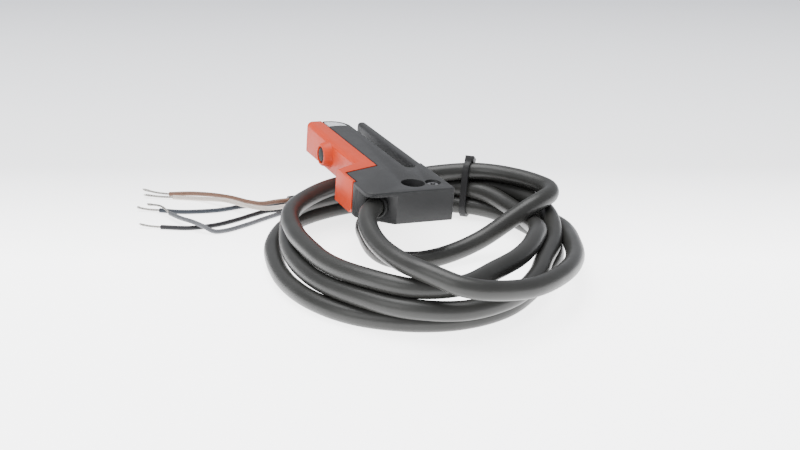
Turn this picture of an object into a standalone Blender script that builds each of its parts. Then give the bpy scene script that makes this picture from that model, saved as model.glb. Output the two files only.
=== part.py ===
"""Fork sensor for fine slots: two-armed housing, teach button, cable coil and bared wire ends.

The sensor is drawn in its own frame, with the origin at the middle of the base's underside,
X across the two arms, Y from the cable end to the arm tips and Z up. An empty tilts it to
the attitude in which it hangs over its coil. The cable and the wires lie in world places.
"""

import math

import bmesh
import bpy
from mathutils import Matrix, Vector

MM = 0.001

# Overall sizes of the sensor
BODY_WIDTH = 25.0 * MM
BODY_HEIGHT = 9.1 * MM
BODY_LENGTH = 65.3 * MM
BASE_SETBACK = 10.0 * MM
REST_TILT = math.radians(4.4)

# The slot and its two arms
SLOT_WIDTH = 3.3 * MM
SLOT_FROM_END = 18.6 * MM
NARROW_ARM_WIDTH = 2.7 * MM
NARROW_ARM_SHORTFALL = 2.3 * MM
NARROW_ARM_ROUND = 1.1 * MM
WIDE_ARM_WIDTH = 7.0 * MM
TIP_ROUND = 5.5 * MM
BASE_DEPTH = 22.0 * MM
BASE_TOP_SLANT = 1.1 * MM

# Walls, edges and clearances of the housing
WALL = 1.2 * MM
CEILING = 1.5 * MM
NARROW_WALL = 0.6 * MM
REBATE_WALL = 0.7 * MM
FIT_GAP = 0.3 * MM
SMALL_GAP = 0.15 * MM
EDGE_ROUND = 0.35 * MM
CORNER_ROUND = 2.5 * MM
END_CORNER_ROUND = 0.5 * MM
PLATE_THICKNESS = 1.2 * MM

# The cable exit, cut across the corner of the base under a lip
EXIT_ALONG_END = 8.6 * MM
EXIT_ALONG_SIDE = 8.0 * MM
LIP_THICKNESS = 1.2 * MM
GLAND_HEIGHT = 4.4 * MM
GLAND_RADIUS = 3.4 * MM
GLAND_PROUD = 1.2 * MM
GLAND_NECK_RADIUS = 3.15 * MM
GLAND_FLAT_HEIGHT = 2.6 * MM
GLAND_BACK_RADIUS = 3.9 * MM
GLAND_BACK_THICKNESS = 1.0 * MM
GLAND_LIP = 0.3 * MM

# The two screw holes of the base
HOLE_FROM_SIDE = 9.6 * MM
HOLE_FROM_END = 6.0 * MM
HOLE_RADIUS = 3.2 * MM
HOLE_SLEEVE_WALL = 1.0 * MM
SCREW_FROM_SIDE = 4.0 * MM
SCREW_FROM_END = 5.5 * MM
SCREW_POCKET_RADIUS = 2.15 * MM
SCREW_SLEEVE_WALL = 0.75 * MM
SCREW_SINK = 0.5 * MM
SCREW_HEAD_THICKNESS = 1.4 * MM
SCREW_CROWN = 0.35 * MM
SCREW_SHANK_RADIUS = 1.0 * MM
SCREW_CROSS_WIDTH = 0.55 * MM
SCREW_CROSS_DEPTH = 0.7 * MM
SLEEVE_PAD_HEIGHT = 3.2 * MM

# The coloured side cover with its collar
COVER_ARM_WIDTH = 4.3 * MM
COVER_OVERHANG = 0.2 * MM
COVER_NOTCH = 26.7 * MM
COVER_SHOULDER = 22.3 * MM
COVER_LEG_START = 10.5 * MM
COVER_LEG_THICKNESS = 0.85 * MM
COVER_LEG_CHAMFER = 1.3 * MM
COVER_ROUND = 1.5 * MM
COVER_WALL = 1.2 * MM
SHOULDER_FROM_END = 22.0 * MM
SHOULDER_DROP = 4.2 * MM
COLLAR_FROM_TIP = 17.9 * MM
COLLAR_REACH = 2.4 * MM
COLLAR_TOP_RADIUS = 3.2 * MM
COLLAR_FOOT_RADIUS = 3.9 * MM
COLLAR_LIP = 0.3 * MM

# The teach button, its seal and its switch
BUTTON_RADIUS = 2.2 * MM
BUTTON_DOME = 0.3 * MM
BUTTON_TRAVEL = 0.5 * MM
BUTTON_FLANGE_RADIUS = 3.0 * MM
BUTTON_FLANGE_THICKNESS = 0.6 * MM
BUTTON_STEM_RADIUS = 1.2 * MM
BUTTON_STEM_LENGTH = 0.4 * MM
SEAL_POCKET_DEPTH = 1.0 * MM
SEAL_POCKET_RADIUS = 3.2 * MM
SWITCH_SIZE = 4.0 * MM
PLUNGER_RADIUS = 0.9 * MM
PLUNGER_PROUD = 0.8 * MM
PLUNGER_SUNK = 0.6 * MM

# The signal window in the top of the wide arm
WINDOW_RIM = 1.2 * MM
WINDOW_FROM_TIP = 5.9 * MM
WINDOW_ARCH = 0.5 * MM
WINDOW_THICKNESS = 0.65 * MM
WINDOW_LEG_WIDTH = 2.6 * MM
WINDOW_LEG_LENGTH = 1.8 * MM
WINDOW_LEG_ROUND = 0.3 * MM

# The boards and what is soldered to them
BOARD_THICKNESS = 0.8 * MM
BOARD_START = 11.5 * MM
STRIP_THICKNESS = 0.35 * MM
BEAM_FROM_TIP = 8.3 * MM
LENS_RADIUS = 1.0 * MM
LENS_FLANGE_RADIUS = 1.4 * MM
LENS_FLANGE_THICKNESS = 0.3 * MM
LENS_SINK = 0.1 * MM
LENS_CROWN = 0.2 * MM
DIODE_SIZE = 2.0 * MM
DIODE_HEIGHT = 1.6 * MM
EMITTER_SIZE = 1.6 * MM
EMITTER_HEIGHT = 0.35 * MM
INDICATOR_SIZE = 1.6 * MM
INDICATOR_ROUND = 0.2 * MM
PROCESSOR_FROM_END = 32.5 * MM
PROCESSOR_LENGTH = 5.0 * MM
PROCESSOR_WIDTH = 4.0 * MM
PROCESSOR_HEIGHT = 1.0 * MM
DRIVER_FROM_END = 23.5 * MM
DRIVER_LENGTH = 2.5 * MM
DRIVER_WIDTH = 2.4 * MM
DRIVER_HEIGHT = 0.9 * MM
CHIP_ROUND = 0.12 * MM
LINK_FROM_END = 14.5 * MM
LINK_THICKNESS = 0.2 * MM
LINK_WIDTH = 3.0 * MM

# The cable, its coil and its tie
CABLE_DIAMETER = 5.0 * MM
CABLE_INSIDE = 3.0 * MM
FLOOR_HEIGHT = -14.0 * MM
COIL_CENTRE_X = 4.06 * MM
COIL_CENTRE_Y = -9.03 * MM
COIL_OUTER_RADIUS = 44.0 * MM
COIL_INNER_RADIUS = 34.0 * MM
COIL_HEIGHT = 12.7 * MM
COIL_ROUND = 2.5 * MM
TIE_ANGLE = math.radians(47.5)
TIE_WIDTH = 3.0 * MM
TIE_THICKNESS = 1.0 * MM
TIE_BEND = 0.8 * MM
TIE_HEAD_WIDTH = 4.6 * MM
TIE_HEAD_LENGTH = 5.0 * MM
TIE_HEAD_HEIGHT = 3.2 * MM
TIE_TAIL_LENGTH = 3.0 * MM
TIE_HEAD_ROUND = 0.4 * MM

# The five wires of the cable
WIRE_DIAMETER = 1.3 * MM
WIRE_CIRCLE_RADIUS = 1.42 * MM
CONDUCTOR_DIAMETER = 0.6 * MM
SOLDER_PADS_FROM_START = 3.0 * MM
SOLDER_PADS_ALONG = 2.0 * MM
SOLDER_PADS_UP = 1.7 * MM

# Places that follow from the sizes above, in the sensor's own frame
LEFT = -BODY_WIDTH / 2
RIGHT = BODY_WIDTH / 2
END = -BASE_SETBACK
TIP = END + BODY_LENGTH
NARROW_INNER = RIGHT - NARROW_ARM_WIDTH
NARROW_TIP = TIP - NARROW_ARM_SHORTFALL
SLOT_LEFT = NARROW_INNER - SLOT_WIDTH
SLOT_END = END + SLOT_FROM_END
WIDE_LEFT = SLOT_LEFT - WIDE_ARM_WIDTH
LEG_FACE = LEFT + COVER_LEG_THICKNESS + FIT_GAP
LEG_END = END + COVER_LEG_START - FIT_GAP
COVER_RIGHT = WIDE_LEFT - FIT_GAP
COVER_LEFT = COVER_RIGHT - COVER_ARM_WIDTH
MID_HEIGHT = BODY_HEIGHT / 2
CAVITY_TOP = BODY_HEIGHT - CEILING
REBATE_TOP = PLATE_THICKNESS + FIT_GAP
COLLAR_Y = TIP - COLLAR_FROM_TIP
BEAM_Y = TIP - BEAM_FROM_TIP
BOARD_LEFT = WIDE_LEFT + WALL + FIT_GAP
BOARD_RIGHT = BOARD_LEFT + BOARD_THICKNESS
BOARD_LOW = REBATE_TOP
BOARD_HIGH = CAVITY_TOP - FIT_GAP
BOARD_END = TIP - WALL - 2 * FIT_GAP
FLANGE_FACE = COVER_LEFT + COVER_WALL + FIT_GAP
BEYOND = 1.0 * MM

ARC_STEP = math.radians(15)
ROUND_SIDES = 32

# The cable's way out of the base and over the coil, in world places
LEAD_ROUTE = (
    (-11.0, -9.4, 5.1),
    (-13.3, -13.2, 4.7),
    (-15.0, -19.0, 4.0),
    (-15.7, -26.0, 3.0),
    (-15.3, -32.5, 2.2),
    (-13.8, -39.0, 1.6),
    (-10.9, -44.6, 1.5),
    (-7.0, -48.6, 1.5),
)
END_ROUTE = (
    (14.7, 37.2, -11.5),
    (7.4, 40.5, -11.5),
    (-0.3, 42.8, -11.5),
    (-8.5, 43.9, -11.5),
    (-14.9, 44.3, -11.5),
)

# Each wire's way along the floor from the end of the jacket, then its bared end
WIRE_ROUTES = {
    "brown": (
        ((-18.5, 45.4, -10.4), (-22.1, 47.7, -11.3), (-24.8, 50.9, -11.55), (-28.4, 58.9, -12.3),
         (-32.7, 66.0, -13.2), (-37.9, 69.7, -13.35), (-43.9, 71.8, -13.35)),
        ((-47.2, 74.2, -13.2), (-50.7, 77.1, -12.6)),
    ),
    "white": (
        ((-18.6, 42.6, -11.2), (-23.0, 44.2, -11.4), (-27.0, 48.9, -11.5), (-30.6, 55.6, -11.8),
         (-36.4, 63.7, -13.2), (-43.5, 68.6, -13.35)),
        ((-47.4, 70.8, -13.3), (-51.2, 73.6, -13.1)),
    ),
    "grey": (
        ((-18.2, 42.6, -13.2), (-23.3, 41.0, -13.35), (-30.3, 38.2, -13.35), (-36.7, 36.5, -13.35),
         (-40.0, 36.9, -13.2), (-42.3, 39.0, -12.1), (-44.5, 42.4, -11.6), (-46.6, 48.2, -12.2),
         (-48.2, 54.0, -12.6)),
        ((-49.6, 58.2, -11.7), (-52.6, 64.0, -12.6)),
    ),
    "black": (
        ((-17.8, 45.6, -13.2), (-21.0, 46.4, -13.35), (-25.4, 45.2, -13.35), (-31.8, 43.0, -13.35),
         (-38.3, 41.7, -13.35), (-45.5, 42.5, -13.35), (-52.9, 46.5, -13.35)),
        ((-55.7, 48.4, -13.3), (-58.4, 50.2, -12.9)),
    ),
    "blue": (
        ((-16.9, 47.3, -12.2), (-18.4, 50.2, -13.1), (-21.4, 52.6, -13.35), (-27.4, 52.9, -13.35),
         (-33.5, 52.7, -13.35), (-39.3, 53.9, -13.35), (-44.8, 56.0, -13.35), (-49.9, 59.6, -13.35)),
        ((-53.0, 61.6, -13.3), (-55.8, 63.5, -12.9)),
    ),
}
WIRE_COLOURS = {
    "brown": (0.17, 0.075, 0.05),
    "white": (0.80, 0.77, 0.72),
    "grey": (0.24, 0.25, 0.26),
    "black": (0.03, 0.03, 0.032),
    "blue": (0.09, 0.12, 0.17),
}


def clear_scene():
    """Take every object out of the scene."""
    for item in list(bpy.data.objects):
        bpy.data.objects.remove(item, do_unlink=True)


def finish(name, colour, roughness, metallic=0.0, alpha=1.0):
    """Make a plain surface material."""
    material = bpy.data.materials.new(name)
    material.use_nodes = True
    shader = material.node_tree.nodes["Principled BSDF"]
    shader.inputs["Base Color"].default_value = (*colour, 1.0)
    shader.inputs["Roughness"].default_value = roughness
    shader.inputs["Metallic"].default_value = metallic
    shader.inputs["Alpha"].default_value = alpha
    return material


def make_finishes():
    """Make the materials that the pieces share."""
    return {
        "housing": finish("black_housing_plastic", (0.055, 0.056, 0.06), 0.48),
        "cover": finish("orange_cover_plastic", (0.62, 0.11, 0.045), 0.42),
        "button": finish("button_rubber", (0.04, 0.045, 0.047), 0.5),
        "seal": finish("seal_rubber", (0.02, 0.02, 0.02), 0.7),
        "window": finish("window_plastic", (0.75, 0.77, 0.78), 0.25),
        "lens": finish("filter_plastic", (0.05, 0.01, 0.012), 0.12),
        "board": finish("board_laminate", (0.03, 0.16, 0.06), 0.45),
        "chip": finish("chip_mould", (0.02, 0.02, 0.022), 0.4),
        "switch": finish("switch_metal", (0.7, 0.7, 0.68), 0.3, 1.0),
        "film": finish("link_film", (0.55, 0.25, 0.05), 0.35),
        "screw": finish("screw_steel", (0.5, 0.5, 0.5), 0.3, 1.0),
        "jacket": finish("cable_jacket", (0.045, 0.045, 0.044), 0.42),
        "tie": finish("tie_nylon", (0.03, 0.03, 0.03), 0.38),
        "conductor": finish("tinned_copper", (0.72, 0.71, 0.68), 0.32, 1.0),
        **{colour: finish(f"{colour}_insulation", value, 0.4)
           for colour, value in WIRE_COLOURS.items()},
    }


def place_object(name, data, material, parent=None, frame=None):
    """Put a mesh or curve into the scene under its name, with its material and its place."""
    piece = bpy.data.objects.new(name, data)
    data.materials.append(material)
    bpy.context.scene.collection.objects.link(piece)
    piece.parent = parent
    if frame is not None:
        piece.matrix_local = frame
    return piece


def mesh_object(name, shape, material, parent=None, frame=None):
    """Turn a closed bmesh into an object with smooth round faces and sharp edges."""
    bmesh.ops.recalc_face_normals(shape, faces=shape.faces)
    mesh = bpy.data.meshes.new(name)
    shape.to_mesh(mesh)
    shape.free()
    mesh.shade_smooth()
    mesh.set_sharp_from_angle(angle=math.radians(35))
    return place_object(name, mesh, material, parent, frame)


def rounded_outline(corners):
    """Give an outline's points, with an arc at each corner (x, y, radius) that has a radius."""
    points = []
    count = len(corners)
    for index, (x, y, radius) in enumerate(corners):
        corner = Vector((x, y))
        if radius <= 0:
            points.append(corner)
            continue
        before = (Vector(corners[index - 1][:2]) - corner).normalized()
        after = (Vector(corners[(index + 1) % count][:2]) - corner).normalized()
        half_angle = before.angle(after) / 2
        centre = corner + (before + after).normalized() * radius / math.sin(half_angle)
        reach = radius / math.tan(half_angle)
        first = corner + before * reach - centre
        last = corner + after * reach - centre
        steps = max(2, round(first.angle(last) / ARC_STEP))
        for step in range(steps + 1):
            share = step / steps
            arm = first.slerp(last, share)
            points.append(centre + arm.normalized() * radius)
    kept = []
    for point in points:
        if not kept or (point - kept[-1]).length > 1e-6:
            kept.append(point)
    if (kept[0] - kept[-1]).length < 1e-6:
        kept.pop()
    return kept


def offset_corners(corners, distance):
    """Move every side of a counter-clockwise outline inward by a distance."""
    sides = []
    count = len(corners)
    for index in range(count):
        start = Vector(corners[index][:2])
        along = (Vector(corners[(index + 1) % count][:2]) - start).normalized()
        inward = Vector((-along.y, along.x))
        sides.append((start + inward * distance, along))
    moved = []
    for index in range(count):
        (point_a, way_a), (point_b, way_b) = sides[index - 1], sides[index]
        turn = way_a.x * way_b.y - way_a.y * way_b.x
        gap = point_b - point_a
        share = (gap.x * way_b.y - gap.y * way_b.x) / turn
        meet = point_a + way_a * share
        radius = corners[index][2]
        if radius > 0:
            radius = max(radius - distance if turn > 0 else radius + distance, 0.0)
        moved.append((meet.x, meet.y, radius))
    return moved


def prism_shape(outline, low, high):
    """Build a bmesh prism from an outline in X and Y between two heights."""
    shape = bmesh.new()
    base = [shape.verts.new((point[0], point[1], low)) for point in outline]
    face = shape.faces.new(base)
    grown = bmesh.ops.extrude_face_region(shape, geom=[face])
    lifted = [item for item in grown["geom"] if isinstance(item, bmesh.types.BMVert)]
    bmesh.ops.translate(shape, verts=lifted, vec=(0, 0, high - low))
    return shape


def prism(name, corners, low, high, material, parent=None, frame=None):
    """Make an object by drawing an outline of corners up from one height to another."""
    return mesh_object(name, prism_shape(rounded_outline(corners), low, high), material, parent, frame)


def rectangle(left, right, near, far, radius=0.0):
    """Give the corners of a rectangle, counter-clockwise."""
    return [(left, near, radius), (right, near, radius), (right, far, radius), (left, far, radius)]


def turned(name, profile, material, parent=None, frame=None, sides=ROUND_SIDES):
    """Turn a closed profile of (radius, height) points about the frame's Z axis."""
    shape = bmesh.new()
    rings = []
    for radius, height in profile:
        if radius <= 1e-9:
            rings.append([shape.verts.new((0, 0, height))])
            continue
        rings.append([
            shape.verts.new((radius * math.cos(math.tau * side / sides),
                             radius * math.sin(math.tau * side / sides), height))
            for side in range(sides)
        ])
    for index, ring in enumerate(rings):
        follower = rings[(index + 1) % len(rings)]
        if len(ring) == 1 and len(follower) == 1:
            continue
        for side in range(sides):
            after = (side + 1) % sides
            corners = [ring[side % len(ring)], ring[after % len(ring)],
                       follower[after % len(follower)], follower[side % len(follower)]]
            shape.faces.new(list(dict.fromkeys(corners)))
    return mesh_object(name, shape, material, parent, frame)


def disc_profile(radius, low, high, edge=0.0):
    """Give the profile of a disc or shaft, with its upper edge cut by a small chamfer."""
    if edge <= 0:
        return [(0, low), (radius, low), (radius, high), (0, high)]
    return [(0, low), (radius, low), (radius, high - edge), (radius - edge, high), (0, high)]


def axis_frame(point, direction):
    """Give the frame that stands at a point with its Z axis along a direction."""
    turn = Vector((0, 0, 1)).rotation_difference(Vector(direction))
    return Matrix.Translation(Vector(point)) @ turn.to_matrix().to_4x4()


def carve(target, tool, operation="DIFFERENCE", solver="EXACT"):
    """Cut a tool out of a piece, or join it on, and keep the tool itself out of the model."""
    tool.hide_render = True
    tool.display_type = "WIRE"
    cut = target.modifiers.new(f"{operation.lower()}_{tool.name}", "BOOLEAN")
    cut.operation = operation
    cut.object = tool
    cut.solver = solver


def blend(first, last, start, end, moment):
    """Give the point between two others in proportion to a moment between two times."""
    return first * ((end - moment) / (end - start)) + last * ((moment - start) / (end - start))


def spline_point(knots, share):
    """Give a point between the middle two of four knots, on a curve that doesn't overshoot."""
    a, b, c, d = knots
    t0 = 0.0
    t1 = t0 + math.sqrt((b - a).length)
    t2 = t1 + math.sqrt((c - b).length)
    t3 = t2 + math.sqrt((d - c).length)
    moment = t1 + (t2 - t1) * share
    ab = blend(a, b, t0, t1, moment)
    bc = blend(b, c, t1, t2, moment)
    cd = blend(c, d, t2, t3, moment)
    return blend(blend(ab, bc, t0, t2, moment), blend(bc, cd, t1, t3, moment), t1, t2, moment)


def smooth_route(points, step):
    """Read points at even steps from a smooth curve through a route's own points."""
    knots = [Vector(point) for point in points]
    ends = [2 * knots[0] - knots[1], *knots, 2 * knots[-1] - knots[-2]]
    dense = []
    for index in range(1, len(ends) - 2):
        dense.extend(spline_point(ends[index - 1:index + 3], number / 20) for number in range(20))
    dense.append(knots[-1])
    total = sum((after - before).length for before, after in zip(dense, dense[1:]))
    count = max(2, round(total / step))
    wanted = total / count
    kept = [dense[0]]
    walked = 0.0
    for before, after in zip(dense, dense[1:]):
        walked += (after - before).length
        if walked >= wanted * len(kept) and len(kept) < count:
            kept.append(after)
    kept.append(dense[-1])
    return kept


def cord(name, route, diameter, material, parent=None, step_diameters=2.5, sides=3, straight=()):
    """Make a round cord with filled ends along a smooth route, after any straight first stretch."""
    points = [*straight, *smooth_route(route, step_diameters * diameter)]
    curve = bpy.data.curves.new(name, "CURVE")
    curve.dimensions = "3D"
    curve.bevel_depth = diameter / 2
    curve.bevel_resolution = sides
    curve.use_fill_caps = True
    spline = curve.splines.new("POLY")
    spline.points.add(len(points) - 1)
    for point, place in zip(spline.points, points):
        point.co = (*place, 1.0)
    return place_object(name, curve, material, parent)


def in_millimetres(points):
    """Turn a route noted in millimetres into metres."""
    return [tuple(value * MM for value in point) for point in points]


def core_corners():
    """Give the outline of the hollow part of the housing, with the corner cut for the cable."""
    return [
        (RIGHT, END, 0.0),
        (RIGHT, SLOT_END, 0.0),
        (SLOT_LEFT, SLOT_END, 0.0),
        (SLOT_LEFT, TIP, TIP_ROUND),
        (WIDE_LEFT, TIP, 0.0),
        (WIDE_LEFT, END + SHOULDER_FROM_END, 0.0),
        (LEG_FACE, END + SHOULDER_FROM_END - SHOULDER_DROP, 0.0),
        (LEG_FACE, LEG_END, 0.0),
        (LEFT, LEG_END, 0.0),
        (LEFT, END + EXIT_ALONG_SIDE, 0.0),
        (LEFT + EXIT_ALONG_END, END, 0.0),
    ]


def housing_corners():
    """Give the outline of the housing without its narrow arm, the slot's round end included."""
    return [
        (RIGHT, END, END_CORNER_ROUND),
        (RIGHT, END + BASE_DEPTH, 0.0),
        (NARROW_INNER, END + BASE_DEPTH - BASE_TOP_SLANT, 0.0),
        (NARROW_INNER, SLOT_END, SLOT_WIDTH / 2),
        (SLOT_LEFT, SLOT_END, SLOT_WIDTH / 2),
        (SLOT_LEFT, TIP, TIP_ROUND),
        (WIDE_LEFT, TIP, 0.0),
        (WIDE_LEFT, END + SHOULDER_FROM_END, 0.0),
        (LEG_FACE, END + SHOULDER_FROM_END - SHOULDER_DROP, 0.0),
        (LEG_FACE, LEG_END, 0.0),
        (LEFT, LEG_END, 0.0),
        (LEFT, END, CORNER_ROUND),
    ]


def window_corners(gap, open_side):
    """Give the outline of the signal window, shrunk by a gap and drawn out to its open side."""
    right = SLOT_LEFT - WINDOW_RIM - gap
    far = TIP - WINDOW_RIM - gap
    near = TIP - WINDOW_FROM_TIP + gap
    span = SLOT_LEFT - WINDOW_RIM - WIDE_LEFT
    inner = []
    for share in (number / 6 for number in range(1, 6)):
        inner.append((WIDE_LEFT + span * share, near + WINDOW_ARCH * 4 * share * (1 - share), 0.0))
    round_end = max(min(TIP_ROUND - WINDOW_RIM - gap, far - near - SMALL_GAP), 0.0)
    return [(open_side, near, 0.0), *inner, (right, near, 0.0), (right, far, round_end),
            (open_side, far, 0.0)]


def gland_point(depth):
    """Give a point on the cable exit's axis, a distance out from the cut wall."""
    middle = Vector((LEFT + EXIT_ALONG_END / 2, END + EXIT_ALONG_SIDE / 2, GLAND_HEIGHT))
    return middle + gland_direction() * depth


def gland_direction():
    """Give the direction in which the cable leaves, square to the cut wall."""
    return Vector((-EXIT_ALONG_SIDE, -EXIT_ALONG_END, 0)).normalized()


def hole_place(height):
    """Give the centre of the mounting hole at a height."""
    return (RIGHT - HOLE_FROM_SIDE, END + HOLE_FROM_END, height)


def screw_place(height):
    """Give the centre of the cover screw at a height."""
    return (RIGHT - SCREW_FROM_SIDE, END + SCREW_FROM_END, height)


def add_edge_round(piece, width, segments=2):
    """Round the sharp edges of a moulding."""
    edge = piece.modifiers.new("edge_round", "BEVEL")
    edge.width = width
    edge.segments = segments
    edge.limit_method = "ANGLE"
    edge.angle_limit = math.radians(40)


def make_narrow_arm(finishes, frame):
    """Make the slim bar of the emitter arm, its long edges and its tip fully rounded."""
    corners = rectangle(NARROW_INNER, RIGHT, SLOT_END - WALL, NARROW_TIP)
    bar = prism("narrow_arm_bar", corners, 0.0, BODY_HEIGHT, finishes["housing"], frame)
    add_edge_round(bar, NARROW_ARM_ROUND, 4)
    return bar


def hollow_housing(housing, finishes, frame):
    """Cut the cavity, the rebate for the bottom cover and the channel of the narrow arm."""
    paint = finishes["housing"]
    cavity = prism("cavity_tool", offset_corners(core_corners(), WALL), -BEYOND, CAVITY_TOP, paint, frame)
    rebate = prism("rebate_tool", offset_corners(core_corners(), REBATE_WALL), -BEYOND, REBATE_TOP,
                   paint, frame)
    channel = prism(
        "channel_tool",
        rectangle(NARROW_INNER + NARROW_WALL, RIGHT - NARROW_WALL,
                  END + LINK_FROM_END - FIT_GAP, NARROW_TIP - WALL),
        -BEYOND, BODY_HEIGHT - NARROW_ARM_ROUND - NARROW_WALL / 2, paint, frame)
    for tool in (cavity, rebate, channel):
        carve(housing, tool)


def cut_cable_exit(housing, finishes, frame):
    """Cut the corner of the base away under its lip, and bore the wall for the gland."""
    slope = EXIT_ALONG_SIDE / EXIT_ALONG_END
    corner = [
        (LEFT - BEYOND, END - BEYOND, 0.0),
        (LEFT + EXIT_ALONG_END + BEYOND / slope, END - BEYOND, 0.0),
        (LEFT - BEYOND, END + EXIT_ALONG_SIDE + BEYOND * slope, 0.0),
    ]
    recess = prism("exit_tool", corner, -BEYOND, BODY_HEIGHT - LIP_THICKNESS, finishes["housing"], frame)
    carve(housing, recess)
    bore = turned("gland_bore_tool",
                  disc_profile(GLAND_NECK_RADIUS + SMALL_GAP, -WALL - BEYOND, BEYOND),
                  finishes["housing"], frame, axis_frame(gland_point(0), gland_direction()))
    carve(housing, bore)


def add_screw_holes(housing, finishes, frame):
    """Stand the two sleeves in the base and bore them for the mounting and cover screws."""
    paint = finishes["housing"]
    low = SLEEVE_PAD_HEIGHT + FIT_GAP
    high = CAVITY_TOP + CEILING / 2
    sleeve = turned("hole_sleeve", disc_profile(HOLE_RADIUS + HOLE_SLEEVE_WALL, low, high), paint,
                    frame, Matrix.Translation(hole_place(0)))
    column = turned("screw_sleeve", disc_profile(SCREW_POCKET_RADIUS + SCREW_SLEEVE_WALL, low, high),
                    paint, frame, Matrix.Translation(screw_place(0)))
    carve(housing, sleeve, "UNION")
    carve(housing, column, "UNION")
    seat = BODY_HEIGHT - SCREW_SINK - SCREW_HEAD_THICKNESS - FIT_GAP
    bore = turned("hole_tool", disc_profile(HOLE_RADIUS, -BEYOND, BODY_HEIGHT + BEYOND), paint, frame,
                  Matrix.Translation(hole_place(0)), 40)
    pocket = turned("screw_pocket_tool", disc_profile(SCREW_POCKET_RADIUS, seat, BODY_HEIGHT + BEYOND),
                    paint, frame, Matrix.Translation(screw_place(0)))
    shank = turned("screw_shank_tool",
                   disc_profile(SCREW_SHANK_RADIUS + FIT_GAP, low - BEYOND, seat + BEYOND / 2),
                   paint, frame, Matrix.Translation(screw_place(0)), 20)
    for tool in (bore, pocket, shank):
        carve(housing, tool)


def cut_optics(housing, finishes, frame):
    """Open the slot's two walls for the lenses, the side wall for the switch and the window."""
    paint = finishes["housing"]
    eye = LENS_RADIUS + FIT_GAP
    receiver = turned("receiver_tool", disc_profile(eye, -WALL - BEYOND, BEYOND), paint, frame,
                      axis_frame((SLOT_LEFT, BEAM_Y, MID_HEIGHT), (1, 0, 0)), 20)
    emitter = turned("emitter_tool", disc_profile(eye, -BEYOND, NARROW_WALL + FIT_GAP), paint, frame,
                     axis_frame((NARROW_INNER, BEAM_Y, MID_HEIGHT), (1, 0, 0)), 20)
    half = SWITCH_SIZE / 2 + FIT_GAP
    switch = prism("switch_tool", rectangle(WIDE_LEFT - BEYOND, WIDE_LEFT + WALL + BEYOND / 4,
                                            COLLAR_Y - half, COLLAR_Y + half),
                   MID_HEIGHT - half, MID_HEIGHT + half, paint, frame)
    pocket = prism("window_tool", window_corners(0.0, WIDE_LEFT - BEYOND),
                   BODY_HEIGHT - WINDOW_THICKNESS - SMALL_GAP, BODY_HEIGHT + BEYOND, paint, frame)
    shaft = prism("window_shaft_tool", window_leg_corners(SMALL_GAP), CAVITY_TOP - BEYOND,
                  BODY_HEIGHT + BEYOND, paint, frame)
    for tool in (receiver, emitter, switch, pocket, shaft):
        carve(housing, tool)


def window_leg_corners(gap):
    """Give the outline of the window's light guide, grown by a gap."""
    middle_x = (BOARD_RIGHT + SMALL_GAP) + INDICATOR_SIZE / 2
    middle_y = TIP - (WINDOW_RIM + WINDOW_FROM_TIP) / 2
    half_x = WINDOW_LEG_WIDTH / 2 + gap
    half_y = WINDOW_LEG_LENGTH / 2 + gap
    return rectangle(middle_x - half_x, middle_x + half_x, middle_y - half_y, middle_y + half_y,
                     WINDOW_LEG_ROUND)


def make_housing(finishes, frame):
    """Make the two-armed housing, hollow from below."""
    housing = prism("fork_housing", housing_corners(), 0.0, BODY_HEIGHT, finishes["housing"], frame)
    add_edge_round(housing, EDGE_ROUND)
    carve(housing, make_narrow_arm(finishes, frame), "UNION")
    hollow_housing(housing, finishes, frame)
    cut_cable_exit(housing, finishes, frame)
    add_screw_holes(housing, finishes, frame)
    cut_optics(housing, finishes, frame)


def make_bottom_cover(finishes, frame):
    """Make the plate that closes the housing from below, with its finger and its two pads."""
    paint = finishes["housing"]
    plate = prism("bottom_cover", offset_corners(core_corners(), REBATE_WALL + FIT_GAP), 0.0,
                  PLATE_THICKNESS, paint, frame)
    finger = prism(
        "cover_finger",
        rectangle(NARROW_INNER + NARROW_WALL + FIT_GAP, RIGHT - NARROW_WALL - FIT_GAP,
                  SLOT_END - WALL - BEYOND, NARROW_TIP - WALL - FIT_GAP),
        0.0, PLATE_THICKNESS, paint, frame)
    carve(plate, finger, "UNION")
    low = PLATE_THICKNESS / 2
    pads = (
        (hole_place(0), HOLE_RADIUS + HOLE_SLEEVE_WALL, HOLE_RADIUS, -BEYOND),
        (screw_place(0), SCREW_POCKET_RADIUS, SCREW_SHANK_RADIUS + FIT_GAP, PLATE_THICKNESS / 3),
    )
    for number, (place, radius, _, _) in enumerate(pads):
        pad = turned(f"cover_pad_{number}", disc_profile(radius, low, SLEEVE_PAD_HEIGHT), paint, frame,
                     Matrix.Translation(place))
        carve(plate, pad, "UNION")
    for number, (place, _, bore, start) in enumerate(pads):
        tool = turned(f"cover_bore_{number}", disc_profile(bore, start, SLEEVE_PAD_HEIGHT + BEYOND),
                      paint, frame, Matrix.Translation(place))
        carve(plate, tool, solver="MANIFOLD")


def cover_corners():
    """Give the outline of the side cover: shoulder and leg outside, the housing's line inside."""
    clear = offset_corners(housing_corners(), -FIT_GAP)
    corner, shoulder = clear[7], clear[8]
    leg_inner = LEFT + COVER_LEG_THICKNESS
    return [
        (LEFT, END + COVER_LEG_START, 0.0),
        (leg_inner, END + COVER_LEG_START, 0.0),
        (leg_inner, shoulder[1], 0.0),
        (corner[0], corner[1], 0.0),
        (COVER_RIGHT, TIP + COVER_OVERHANG, 0.0),
        (COVER_LEFT, TIP + COVER_OVERHANG, 0.0),
        (COVER_LEFT, END + COVER_NOTCH, 0.0),
        (LEFT, END + COVER_SHOULDER, 0.0),
    ]


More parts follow.
